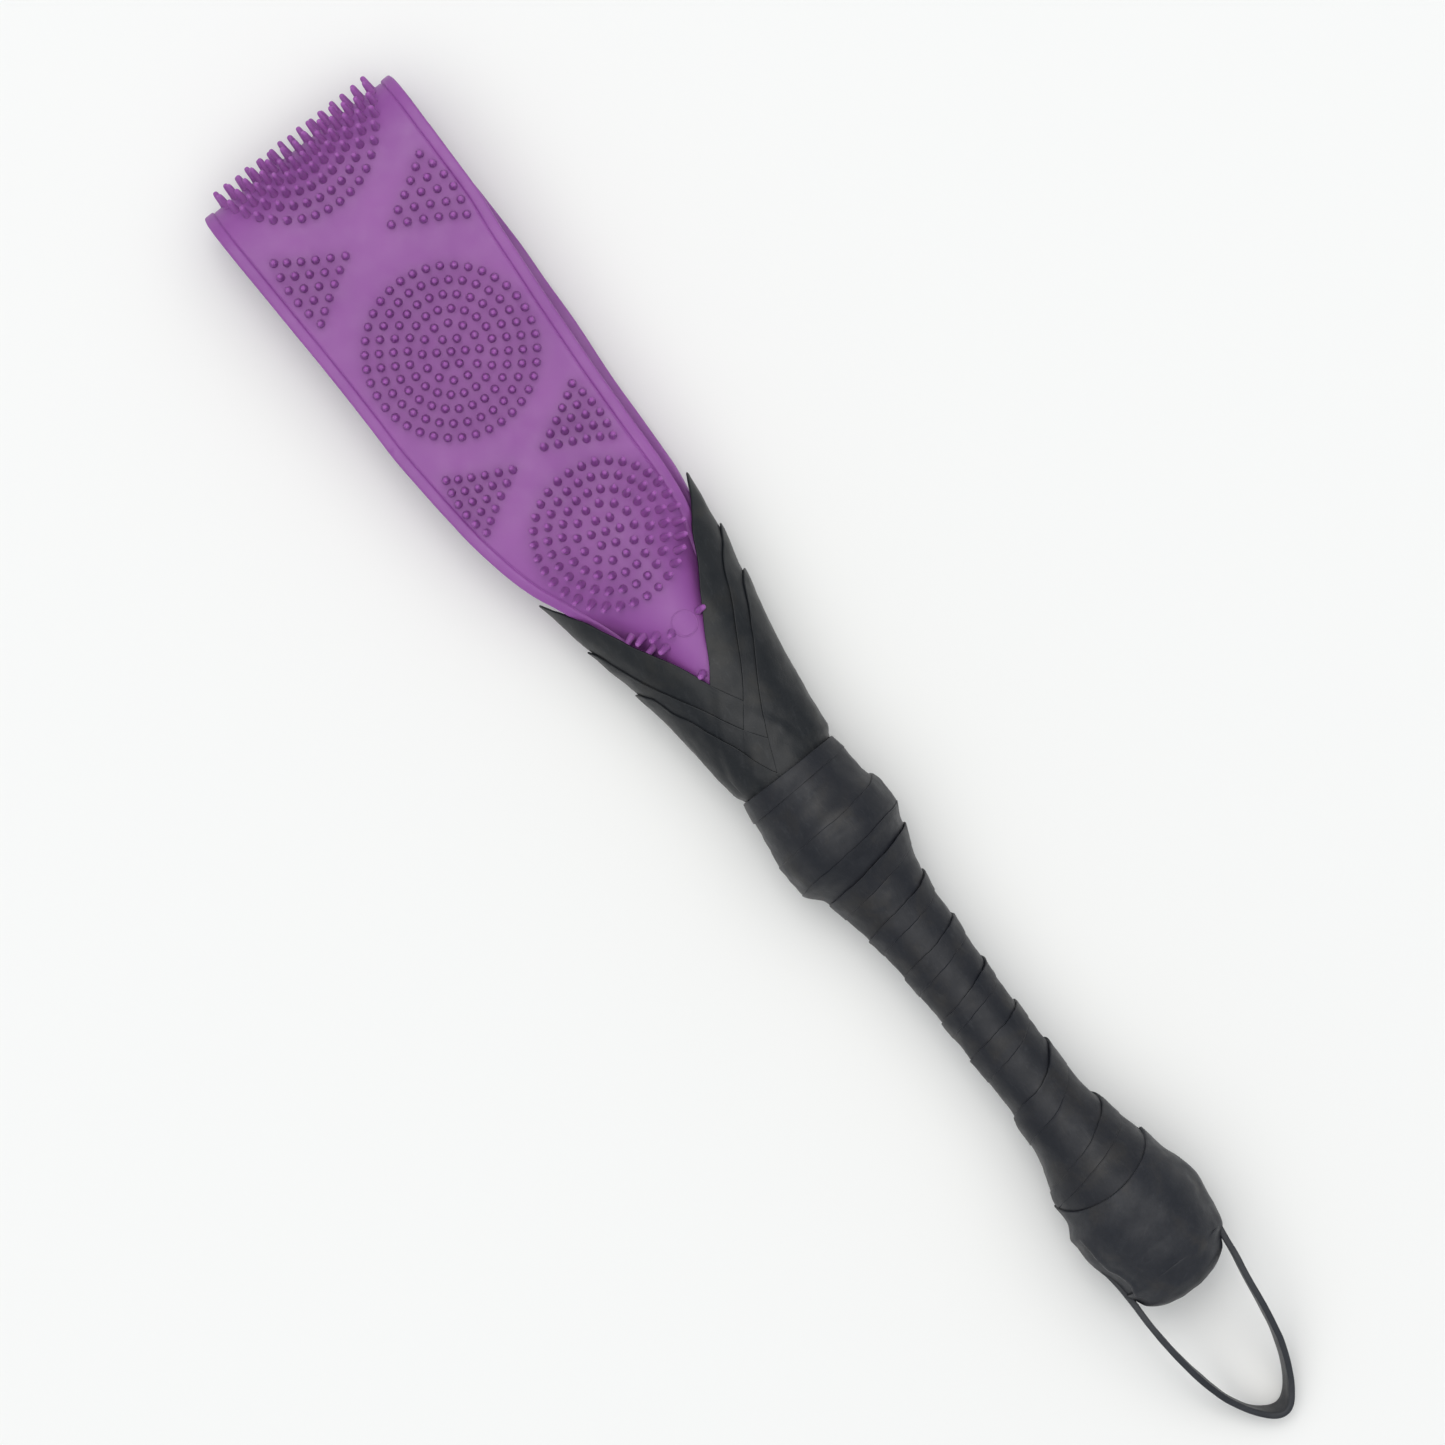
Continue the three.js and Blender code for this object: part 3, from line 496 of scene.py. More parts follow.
def lead_table(name):
    left, level, rows = "left" in name, FLAP_ORDER.index(name), []
    for u, v in LEAD[name]:
        s = u * UNIT
        w = float(throat_wide(s)) + STRIP_THICK + 0.42 * level
        t = min(1, max(-0.98, (v * UNIT - float(centre_y(s))) / w * (-1 if left else 1)))
        rows.append([math.acos(t), s])
    rows[0][0] = 0
    for i in range(1, len(rows)):
        rows[i][0] = max(rows[i][0], rows[i - 1][0] + 0.02)
    slope = (rows[-1][1] - rows[-3][1]) / (rows[-1][0] - rows[-3][0])
    rows += [[rows[-1][0] + d, rows[-1][1] + slope * d * (1 + 0.4 * d)] for d in (0.3, 0.6, 0.9)]
    f, reach = curve(rows), 0.2
    while f(reach) < FLAP_END[name] - 1.2 and reach < 2.6 and reach < rows[-1][0]:
        reach += 0.01
    return f, reach


LEADS = {n: lead_table(n) for n in FLAP_ORDER}


def own_angle(name, phi):
    """Angle from the strip's own side of the throat, 0 to pi."""
    a = np.abs((np.asarray(phi, float) + np.pi) % (2 * np.pi) - np.pi)
    return np.pi - a if "left" in name else a


def covered(name, s, phi):
    """How fully a strip lies under the point: a small sharp step at its edge, then a long soft one."""
    f, reach = LEADS[name]
    g = own_angle(name, phi)
    deep = s - f(np.minimum(g, reach))
    return np.where(g <= reach, 0.16 * step(deep, -0.1, 0.3) + 0.84 * step(deep, 0.0, 6.0), 0.0)


def stack(level, s, phi):
    return sum((covered(n, s, phi) * pitch_at(s) for n in FLAP_ORDER[:level]), np.zeros(np.broadcast(s, phi).shape))


def throat_point(s, phi, off):
    return np.stack([s + 0 * phi, centre_y(s) + (throat_wide(s) + off) * np.cos(phi), mid_z(s) + (throat_half(s) + off) * np.sin(phi)], -1)


def make_flap(name, level):
    f, reach = LEADS[name]
    left = "left" in name
    g = np.linspace(-reach, reach, 141)
    lead = f(np.abs(g)) + 0.22 * np.sin(5.1 * g + level) * np.clip(np.abs(g) * 2, 0, 1) + 0.12 * np.sin(13 * g + 2 * level)
    phi = np.pi - g if left else g
    end = FLAP_END[name]
    d_out = np.concatenate([[0.0, 0.05, 0.16, 0.34, 0.7, 1.2, 2.0], np.linspace(0, 1, 44)[1:] * 1.0])
    cols = []
    for j, frac in enumerate(d_out):
        s = lead + frac if j < 7 else lerp(lead + 2.0, end, frac)
        t = {0: 0.42, 1: 0.72, 2: 0.92, 3: 1.0}.get(j, 1.0)
        cols.append((np.minimum(s, end), t))
    inner = [(lerp(lead + 2.0, end, k), 0.04) for k in np.linspace(1, 0, 24)] + [(lead + 1.0, 0.04), (lead + 0.3, 0.04), (lead + 0.05, 0.16)]
    rows = []
    for s, t in cols + inner:
        s = np.minimum(s, end)
        off = stack(level, s, phi) + STRIP_THICK * t
        away = s - lead
        off = off + 0.03 * np.exp(-((away / 1.0) ** 2))  # the free edge lifts a little
        off = off + 0.36 * np.exp(-((away / 4.0) ** 2)) * np.exp(-((g / 0.16) ** 2))  # the pinched tip
        rows.append(throat_point(s, phi, off))
    p = np.array(rows).transpose(1, 0, 2)
    pts = place(p[..., 0], p[..., 1], p[..., 2])
    wave = lumps(pts, 9, 0.36, 11) + lumps(pts, 3.4, 0.13, 17) + lumps(pts, 5, 0.06, 19 + level)
    fade = np.clip((end - p[..., 0]) / 5, 0, 1) * 0.001
    mid = np.stack([np.zeros_like(wave), np.cos(phi)[:, None] + 0 * wave, np.sin(phi)[:, None] + 0 * wave], -1)
    pts = pts + mid * (wave * fade)[..., None]
    return tube(name + "_sheet", pts, M_STRIP, None, 50)


# ---------------------------------------------------------------- nubs
NUB = [(-0.45, 1.40), (0.0, 1.34), (0.22, 1.22), (0.8, 1.13), (2.0, 1.03), (3.3, 0.93), (4.1, 0.85), (4.5, 0.76), (4.8, 0.58), (4.95, 0.32)]
NUB_SIDES = 12
RING_COUNTS = [6, 12, 20, 26, 32, 38, 44]


def ring_pattern(rings, pitch, start, counts=None):
    out = [(0.0, 0.0)]
    for k in range(rings):
        n = (counts or RING_COUNTS)[k]
        for i in range(n):
            a = start + 2 * math.pi * i / n
            out.append(((k + 1) * pitch * math.cos(a), (k + 1) * pitch * math.sin(a)))
    return out


def triangle_pattern(spacing, row, bow, toward):
    """21 nubs in rows of 6 down to 1 from the base; toward is +1 when the apex points to +y. Returned about the apex."""
    out = []
    for k in range(6):
        n = k + 1
        for i in range(n):
            x = (i - k / 2) * spacing
            out.append((x, toward * (-(k * row) - bow * (k / 5) * (1 - (2 * x / (5 * spacing)) ** 2))))
    return out


def belt_q(u):
    return FOLD_ARC + u * UNIT - FOLD_REACH


def nub_places():
    """[(q, y of the group's centre, way across from there), ...] for one leg, and for the fold."""
    leg = []

    def group(u, v, pattern):
        leg.extend((belt_q(u) + du, v * UNIT, dv) for du, dv in pattern)

    group(257.5, 5.5, ring_pattern(6, 14.3 * UNIT, math.pi + 0.04))
    # the second circle's nubs stand a little closer together where the belt starts to rise
    group(494.0, -5.5, [(du * (1 + 0.05 * du / (72 * UNIT)), dv) for du, dv in ring_pattern(5, 14.5 * UNIT, math.pi - 0.10, [6, 12, 20, 26, 32])])
    group(722.0, 5.5, ring_pattern(4, 14.3 * UNIT, math.pi, [6, 12, 20, 26]))
    group(122.0, -25.5, triangle_pattern(15.2 * UNIT, 13.1 * UNIT, 7 * UNIT, 1))
    group(118.5, 29.5, triangle_pattern(15.2 * UNIT, 12.2 * UNIT, 5 * UNIT, -1))
    group(389.5, -9.0, triangle_pattern(13.2 * UNIT, 12.2 * UNIT, 4.5 * UNIT, 1))
    group(388.5, 29.5, triangle_pattern(13.2 * UNIT, 11.8 * UNIT, 5 * UNIT, -1))
    group(612.5, -29.0, triangle_pattern(14.0 * UNIT, 12.2 * UNIT, 4 * UNIT, 1))
    group(614.0, 5.0, triangle_pattern(15.0 * UNIT, 13.2 * UNIT, 4 * UNIT, -1))
    fold = [(du * 1.04 - 1.2, 0.3 * UNIT, dv) for du, dv in ring_pattern(7, 13.4 * UNIT, 0.0, [6, 12, 20, 26, 32, 37, 42])]
    return leg, fold


def on_belt(q, yc, dc):
    def point(qq, dd):
        sec = Section(qq)
        return sec.point(np.clip(sec.at_y(yc) + dd, 0.2, sec.length - 0.2))

    p = point(q, dc)
    along, across = point(q + 0.25, dc) - point(q - 0.25, dc), point(q, dc + 0.25) - point(q, dc - 0.25)
    n = np.cross(along, across)
    n /= np.linalg.norm(n)
    up = Section(q).up
    if n[0] * up[0] + n[2] * up[1] < 0:
        n = -n
    return p, n


def blocked(p, n, length):
    """True where a nub would go through a throat strip, or would be well under one."""
    for k in (0.0, 0.35, 0.7, 1.0):
        s, y, z = p + n * length * k
        if s < 140:
            continue
        ey, ez = (y - float(centre_y(s))) / float(throat_wide(s)), (z - float(mid_z(s))) / float(throat_half(s))
        rho, phi = math.hypot(ey, ez), math.atan2(ez, ey)
        for name in ("flap_left_1", "flap_right_1"):
            f, reach = LEADS[name]
            g = float(own_angle(name, phi))
            if g > reach:
                continue
            deep = s - float(f(g))
            if deep > 6.5 or (deep > 0.3 and rho > 1.03):
                return True
    return False


def make_nubs(name, places, seed):
    rng = np.random.default_rng(seed)
    ring = np.array([[math.cos(2 * math.pi * k / NUB_SIDES), math.sin(2 * math.pi * k / NUB_SIDES)] for k in range(NUB_SIDES)])
    pts, uvs, quads, tris = [], [], [], []
    base_quads = grid(len(NUB), NUB_SIDES, wrap_cols=True)
    c = np.arange(NUB_SIDES)
    per = len(NUB) * NUB_SIDES + 2
    top = np.stack([(len(NUB) - 1) * NUB_SIDES + c, (len(NUB) - 1) * NUB_SIDES + (c + 1) % NUB_SIDES, np.full(NUB_SIDES, per - 2)], -1)
    bottom = np.stack([(c + 1) % NUB_SIDES, c, np.full(NUB_SIDES, per - 1)], -1)
    count = 0
    for q, yc, dc in places:
        if abs(q) > FOLD_ARC + 215 - FOLD_REACH:
            continue
        sec = Section(q)
        a = sec.at_y(yc) + dc
        if abs(q) > FOLD_ARC + 130 and not 4.5 < a < sec.length - 4.5:
            continue
        p, n = on_belt(q, yc, dc)
        length = NUB_LENGTH + rng.uniform(-0.12, 0.08)
        if blocked(p, n, length):
            continue
        n = n + rng.normal(0, 0.018, 3)
        n /= np.linalg.norm(n)
        e1 = np.cross(n, (0, 1, 0))
        e1 /= np.linalg.norm(e1)
        e2 = np.cross(n, e1)
        h = np.array([x[0] for x in NUB])
        h = np.where(h > 0, h * length / NUB_LENGTH, h)
        r = np.array([x[1] for x in NUB])
        body = p + n * h[:, None, None] + (e1 * ring[:, :1] + e2 * ring[:, 1:])[None] * r[:, None, None]
        body = body.reshape(-1, 3)
        pts.append(np.concatenate([body, (p + n * length)[None], (p - n * 0.45)[None]]))
        flat = np.repeat(r, NUB_SIDES)[:, None] * np.tile(ring, (len(NUB), 1)) + (q, yc + dc)
        uvs.append(np.concatenate([flat, [[q, yc + dc]] * 2]))
        quads.append(base_quads + count * per)
        tris.extend([top + count * per, bottom + count * per])
        count += 1
    p = np.concatenate(pts)
    return build(name, place(p[:, 0], p[:, 1], p[:, 2]), [np.concatenate(quads), np.concatenate(tris)], M_NUB_PAINTED_LIGHTER, np.concatenate(uvs) * 0.001, 0), count


def make_mould_mark():
    """A faint moulded circle on the belt's crest, before the third circle of nubs."""
    rows = []
    for k in range(64):
        a = 2 * math.pi * k / 64
        p, n = on_belt(belt_q(614) + 3.9 * math.cos(a), -11 * UNIT, 3.9 * math.sin(a))
        e = np.array([math.cos(a), math.sin(a), 0.0])
        e = e - n * (e @ n)
        e /= np.linalg.norm(e)
        rows.append([p + e * x + n * h for x, h in ((-0.34, -0.1), (-0.20, 0.10), (0, 0.17), (0.20, 0.10), (0.34, -0.1))])
    p = np.array(rows)
    pts = place(p[..., 0], p[..., 1], p[..., 2])
    uv = np.stack([np.full(pts.shape[:2], 0.1), np.full(pts.shape[:2], 0.0)], -1)
    return build("belt_mould_circle", pts, [grid(64, 5, wrap_rows=True, wrap_cols=True)], M_SILICONE, uv, 0)


# ---------------------------------------------------------------- the handle's surface and its wound strip
def handle_point(s, th, off, floor=0.02):
    """th goes round from the low side (0) over the top to the high side (pi), then underneath."""
    phi = np.pi - th
    y = centre_y(s) + np.maximum(0.05, half_wide(s) - 0.3 + off) * np.cos(phi)
    z = mid_z(s) + np.maximum(0.05, handle_half(s) - 0.3 + off) * np.sin(phi)
    return np.stack([s + 0 * th, y, np.maximum(z, floor)], -1)


def under_pommel(s, th):
    """How far the winding is pressed in where the pommel's wrap lies on it."""
    return 0.95 * step(s - pommel_edge(th), 0.3, 2.2)


# Leading edge of the winding, at a quarter, half and three quarters of the front of each turn: [turns, station unit, proud share].
TURNS = [
    [(797, 0.3), (797.5, 0.3), (798.5, 0.3)],
    [(800, 0.2), (801, 0.2), (803, 0.2)],
    [(847, 1.1), (860, 0.35), (864, 0.3)],
    [(883, 0.3), (894, 0.40), (900, 0.3)],
    [(906, 1.0), (921, 0.85), (926, 0.3)],
    [(956, 0.9), (971, 0.9), (978, 0.55)],
    [(1007, 0.9), (1022, 0.85), (1029, 0.4)],
    [(1061, 0.85), (1080, 0.95), (1088, 0.45)],
    [(1114, 0.75), (1129, 0.55), (1134, 0.35)],
    [(1164, 0.85), (1198, 1.05), (1205, 0.5)],
    [(1238, 0.8), (1274, 0.25), (1286, 0.12)],
    [(1305, 0.2), (1325, 0.15), (1333, 0.15)],
    [(1350, 0.1), (1356, 0.1), (1360, 0.1)],
]
WIND = curve([[i - 1 + k * 0.25, (u - 0.009 * (u - 792) * (k == 1)) * UNIT] for i, t in enumerate(TURNS) for k, (u, _) in enumerate(t)])
PROUD = curve([[i - 1 + k * 0.25, a] for i, t in enumerate(TURNS) for k, (_, a) in enumerate(t)])
STRIP_T = 0.85


def wound_height(turn, x):
    """Height of the winding's outer face over the handle's surface: full at the leading edge, down a step where the turn below ends, to nothing at the next edge."""
    k = PROUD(turn) * 0.58
    rise = 0.29 * (0.55 + 0.45 * np.minimum(1.2, PROUD(turn))) * lerp(0.12, 1.0, step(turn, 2.3, 2.8))
    top = lerp(k + rise + 0.06, rise + 0.25 * k, np.clip(x / 0.39, 0, 1))
    low = (0.25 * k + 0.02) * (1 - np.clip((x - 0.40) / 0.6, 0, 1))
    return lerp(top, low, step(x, 0.387, 0.403)) - 0.06 * np.exp(-(((x - 0.406) / 0.008) ** 2)) * step(turn, 2.3, 2.8)


def edge_line(turns):
    """The leading edge, with the small waver of a hand-stretched strip."""
    return WIND(turns) + 0.16 * np.sin(turns * 23.1) + 0.10 * np.sin(turns * 51.7 + 1.3) + 0.05 * np.sin(turns * 133.0)


def streaks(pts, seed):
    """Soft ripples across the strip, close together along the handle and long round it."""
    return lumps(pts * np.array([1.0, 0.22, 0.22]), 3.4, 0.24, seed) + lumps(pts * np.array([1.0, 0.4, 0.4]), 1.5, 0.06, seed + 2)


def make_winding(name, first, last, material):
    """A long strip wound round the handle from turn first to turn last, each turn lying on the one before."""
    turns = np.linspace(first, last, int(round((last - first) * 112)) + 1)
    th = (turns % 1.0) * 2 * np.pi
    s0, s1 = edge_line(turns), edge_line(turns + 1)
    over = 3.5
    x_out = [0.0, 0.004, 0.014, 0.03, 0.055, 0.09, 0.14, 0.2, 0.26, 0.32, 0.36, 0.38, 0.387, 0.391, 0.395, 0.399, 0.403, 0.407, 0.412, 0.42, 0.44, 0.49, 0.55, 0.62, 0.69, 0.76, 0.83, 0.9, 0.96, 1.0]
    rows = []
    for x in x_out:
        o = wound_height(turns, x)
        soft = {0.0: 0.30, 0.004: 0.08, 0.014: 0.0}.get(x, 0.0) * STRIP_T
        s = s0 + (s1 - s0) * x
        rows.append(handle_point(s, th, o - soft - under_pommel(s, th)))
    for x in (0.5, 1.0):
        rows.append(handle_point(s1 + over * x, th, -0.25 * x - under_pommel(s1 + over * x, th)))
    for x in (1.0, 0.4):
        rows.append(handle_point(s1 + over * x, th, -STRIP_T - 0.2, 0.3))
    for x in (0.9, 0.7, 0.5, 0.3, 0.15, 0.05):
        rows.append(handle_point(s0 + (s1 - s0) * x, th, wound_height(turns, x) - STRIP_T, 0.3))
    rows.append(handle_point(s0 + 0.05, th, wound_height(turns, 0.0) - STRIP_T))
    rows.append(handle_point(s0 - 0.06, th, wound_height(turns, 0.0) - STRIP_T * 0.66))
    p = np.array(rows).transpose(1, 0, 2)
    pts = place(p[..., 0], p[..., 1], p[..., 2])
    phi = np.pi - th
    wave = lumps(pts, 7, 0.22, 31) + lumps(pts, 2.6, 0.08, 37) + streaks(pts, 41)
    out = np.stack([np.zeros_like(wave), np.cos(phi)[:, None] + 0 * wave, np.sin(phi)[:, None] + 0 * wave], -1)
    pts = pts + out * wave[..., None] * 0.001
    pts[..., 2] = np.maximum(pts[..., 2], 0.00001)
    return tube(name, pts, material, None, 46)


def make_ring(name, start, stop, off, material, seed, sides=160, edge_lift=0.0):
    """A band round the handle whose edges are start(th) and stop(th)."""
    th = np.linspace(0, 2 * np.pi, sides, endpoint=False)
    a, b = start(th), stop(th)
    xs = [0.0, 0.01, 0.03, 0.08] + list(np.linspace(0.15, 0.85, 14)) + [0.92, 0.97, 0.99, 1.0]
    rows = []
    for x in xs:
        soft = 0.35 * STRIP_T * (1 if x in (0.0, 1.0) else 0.25 if x in (0.01, 0.99) else 0)
        rows.append(handle_point(lerp(a, b, x), th, off(lerp(a, b, x), th) + edge_lift * math.exp(-((x / 0.1) ** 2)) - soft))
    for x in [0.98, 0.5, 0.02]:
        rows.append(handle_point(lerp(a, b, x), th, off(lerp(a, b, x), th) - STRIP_T, 0.3))
    p = np.array(rows)
    pts = place(p[..., 0], p[..., 1], p[..., 2])
    wave = lumps(pts, 8, 0.22, seed) + lumps(pts, 3, 0.08, seed + 3)
    out = np.stack([np.zeros_like(wave), np.cos(np.pi - th)[None] + 0 * wave, np.sin(np.pi - th)[None] + 0 * wave], -1)
    pts = pts + out * wave[..., None] * 0.001
    pts[..., 2] = np.maximum(pts[..., 2], 0.00001)
    return build(name, pts, [grid(len(rows), sides, wrap_rows=True, wrap_cols=True)], material, None, 46)


def pommel_edge(th):
    return (lerp(1290, 1299, step(np.where(th > np.pi, 2 * np.pi - th, th), 0, np.pi)) + 27.5 * (np.sqrt(np.sin(th) ** 2 + 0.004) - 0.063)) * UNIT


# Where the strap's tail runs under the pommel's wrap on the high side: a step along its upper edge.
TAIL_LINE = curve([[394, 0.40], [404.4, 0.56], [411.2, 0.52], [414.5, 0.62], [418.7, 0.64], [423.5, 0.50]])


def pommel_off(s, th):
    off = 0.15 + 0.62 * np.exp(-np.clip(s - pommel_edge(th), 0, 99) / 7.0)
    phi = (np.pi - th + np.pi) % (2 * np.pi) - np.pi
    on = step(s, 398, 402) * step(-s, -427, -422)
    off = off - 0.72 * on * step(TAIL_LINE(s) - phi, -0.012, 0.012) * step(phi, -0.75, -0.45)
    ridge = 0.5 * on * np.exp(-(((phi - TAIL_LINE(s) - 0.05) / 0.07) ** 2))
    other = 0.45 * step(s, 398, 404) * np.exp(-(((np.abs(phi) - np.pi) / 0.32) ** 2) ** 2)
    soft = 0.22 * np.exp(-(((s - 417.2) / 3.2) ** 2)) - 0.12 * np.exp(-(((s - 413.0) / 0.9) ** 2)) + 0.12 * np.exp(-(((s - 404.5) / 4.5) ** 2))
    return off + ridge + other + soft * (0.35 + 0.65 * np.sin(th) ** 2)


def make_pommel():
    th = np.linspace(0, 2 * np.pi, 200, endpoint=False)
    a = pommel_edge(th)
    stop = 424.5
    xs = [0.0, 0.003, 0.01, 0.022, 0.045, 0.08] + list(np.linspace(0.12, 1.0, 64))
    rows = []
    for x in xs:
        s = lerp(a, stop, x)
        soft = {0.0: 0.38, 0.003: 0.1}.get(x, 0.0) * STRIP_T
        rows.append(handle_point(s, th, pommel_off(s, th) - soft))
    for x in (1.0, 0.7, 0.4, 0.2, 0.05, 0.006):
        s = lerp(a, stop, x)
        rows.append(handle_point(s, th, pommel_off(s, th) - 1.15, 0.35))
    rows.append(handle_point(a - 0.08, th, pommel_off(a, th) - 0.75))
    p = np.array(rows)
    pts = place(p[..., 0], p[..., 1], p[..., 2])
    wave = lumps(pts, 9, 0.42, 51) + lumps(pts, 3, 0.10, 57)
    out = np.stack([np.zeros_like(wave), np.cos(np.pi - th)[None] + 0 * wave, np.sin(np.pi - th)[None] + 0 * wave], -1)
    pts = pts + out * wave[..., None] * 0.001
    pts[..., 2] = np.maximum(pts[..., 2], 0.00001)
    return build("pommel_cap", pts, [grid(len(rows), 200, wrap_rows=True, wrap_cols=True)], M_POMMEL, None, 46)


def make_end():
    th = np.linspace(0, 2 * np.pi, 160, endpoint=False)
    stations = [421.2, 421.25, 421.4, 421.8] + list(np.linspace(422.5, 430.8, 22)) + [431.15, 431.4, 431.5]
    rows = []
    for s in stations:
        soft = {421.2: 0.4, 421.25: 0.12}.get(s, 0.0) * STRIP_T
        off = 0.16 - soft + 0 * th
        rows.append(handle_point(s + 0 * th, th, off + 0.16 * np.cos(5 * th + 0.9) * step(s, 425, 430.5)))
    last = handle_point(431.5 + 0 * th, th, 0.16 + 0.16 * np.cos(5 * th + 0.9))
    middle = last.mean(0)
    for k in (0.86, 0.7, 0.52, 0.34, 0.16):
        ring = middle + (last - middle) * k
        ring[:, 0] = 431.5 + 0.55 * (1 - k * k) + 0.1 * np.cos(5 * th + 0.9) * k
        rows.append(ring)
    p = np.array(rows)
    tip = middle.copy()
    tip[0] = 432.05
    pts = place(p[..., 0], p[..., 1], p[..., 2])
    wave = lumps(pts, 6, 0.34, 71)
    out = np.stack([np.zeros_like(wave), np.cos(np.pi - th)[None] + 0 * wave, np.sin(np.pi - th)[None] + 0 * wave], -1)
    pts = pts + out * wave[..., None] * 0.001
    inner = handle_point(421.3 + 0 * th, th, -1.1, 0.35)
    deep = handle_point(423.8 + 0 * th, th, -1.6, 0.35)
    n, r = 160, len(rows)
    allp = np.concatenate([pts.reshape(-1, 3), place(inner[:, 0], inner[:, 1], inner[:, 2]), place(deep[:, 0], deep[:, 1], deep[:, 2]), place(*tip)[None], place(423.8, tip[1], tip[2])[None]])
    c = np.arange(n)
    quads = [grid(r, n, wrap_cols=True)]
    quads.append(np.stack([c, r * n + c, r * n + (c + 1) % n, (c + 1) % n], -1))
    quads.append(np.stack([r * n + c, (r + 1) * n + c, (r + 1) * n + (c + 1) % n, r * n + (c + 1) % n], -1))
    t1 = np.stack([(r - 1) * n + c, (r - 1) * n + (c + 1) % n, np.full(n, (r + 2) * n)], -1)
    t2 = np.stack([(r + 1) * n + (c + 1) % n, (r + 1) * n + c, np.full(n, (r + 2) * n + 1)], -1)
    quads[0] = quads[0][:, ::-1]
    quads[1] = quads[1][:, ::-1]
    quads[2] = quads[2][:, ::-1]
    t1, t2 = t1[:, ::-1], t2[:, ::-1]
    return build("pommel_end", allp, [np.concatenate(quads), np.concatenate([t1, t2])], M_POMMEL, None, 46)


# ---------------------------------------------------------------- the wrist strap
STRAP_LINE = [
    [404, -19.9, 21.2], [411, -19.2, 21.2], [418, -18.5, 21.2], [424, -17.8, 21.2], [428.5, -17.2, 21.2],
    [STRAP_PIVOT, -16.6, 21.2], [438.5, -15.5, 20.7], [445, -14.6, 19.1], [452.5, -13.4, 16.2], [459.6, -11.9, 12.6], [467.2, -9.3, 8.6], [473.7, -5.9, 5.7], [477.6, -2.6, 4.55],
    [478.8, 0.3, 4.35], [477.8, 3.4, 4.5], [474.1, 7.3, 5.6], [467.2, 11.1, 8.6], [459.6, 13.3, 12.6], [452.5, 14.7, 16.2], [445, 15.6, 19.1], [438.5, 16.1, 20.7], [STRAP_PIVOT, 16.3, 21.2],
    [428.5, 16.2, 21.2], [424, 16.1, 21.2], [418, 16.3, 21.2], [411, 17.0, 21.2], [404, 17.6, 21.2],
]
STRAP_TILT_LOW = curve([[432, 0], [438.5, 8], [445, 13], [452.5, 16], [459.6, 15.5], [467, 13], [474, 15], [480, 21]])  # the width's lean on the low leg
STRAP_TILT_HIGH = curve([[432, 0], [438.5, 7], [445, 14], [452.5, 15], [459.6, 8], [467, 0], [474, 4], [480, 21]])


def smooth_line(points, spacing):
    """Points evenly spaced along a centripetal Catmull-Rom curve through the given ones."""
    p = np.array(points, float)
    p = np.concatenate([[2 * p[0] - p[1]], p, [2 * p[-1] - p[-2]]])
    out = []
    for i in range(1, len(p) - 2):
        a, b, c, d = p[i - 1 : i + 3]
        t0 = 0.0
        t1 = t0 + np.linalg.norm(b - a) ** 0.5
        t2 = t1 + np.linalg.norm(c - b) ** 0.5
        t3 = t2 + np.linalg.norm(d - c) ** 0.5
        for t in np.linspace(t1, t2, 24, endpoint=False):
            a1 = (t1 - t) / (t1 - t0) * a + (t - t0) / (t1 - t0) * b
            a2 = (t2 - t) / (t2 - t1) * b + (t - t1) / (t2 - t1) * c
            a3 = (t3 - t) / (t3 - t2) * c + (t - t2) / (t3 - t2) * d
            b1 = (t2 - t) / (t2 - t0) * a1 + (t - t0) / (t2 - t0) * a2
            b2 = (t3 - t) / (t3 - t1) * a2 + (t - t1) / (t3 - t1) * a3
            out.append((t2 - t) / (t2 - t1) * b1 + (t - t1) / (t2 - t1) * b2)
    out.append(p[-2])
    out = np.array(out)
    arc = np.concatenate([[0], np.cumsum(np.linalg.norm(np.diff(out, axis=0), axis=1))])
    n = int(arc[-1] / spacing) + 1
    q = np.linspace(0, arc[-1], n)
    return np.stack([np.interp(q, arc, out[:, k]) for k in range(3)], -1), arc[-1]


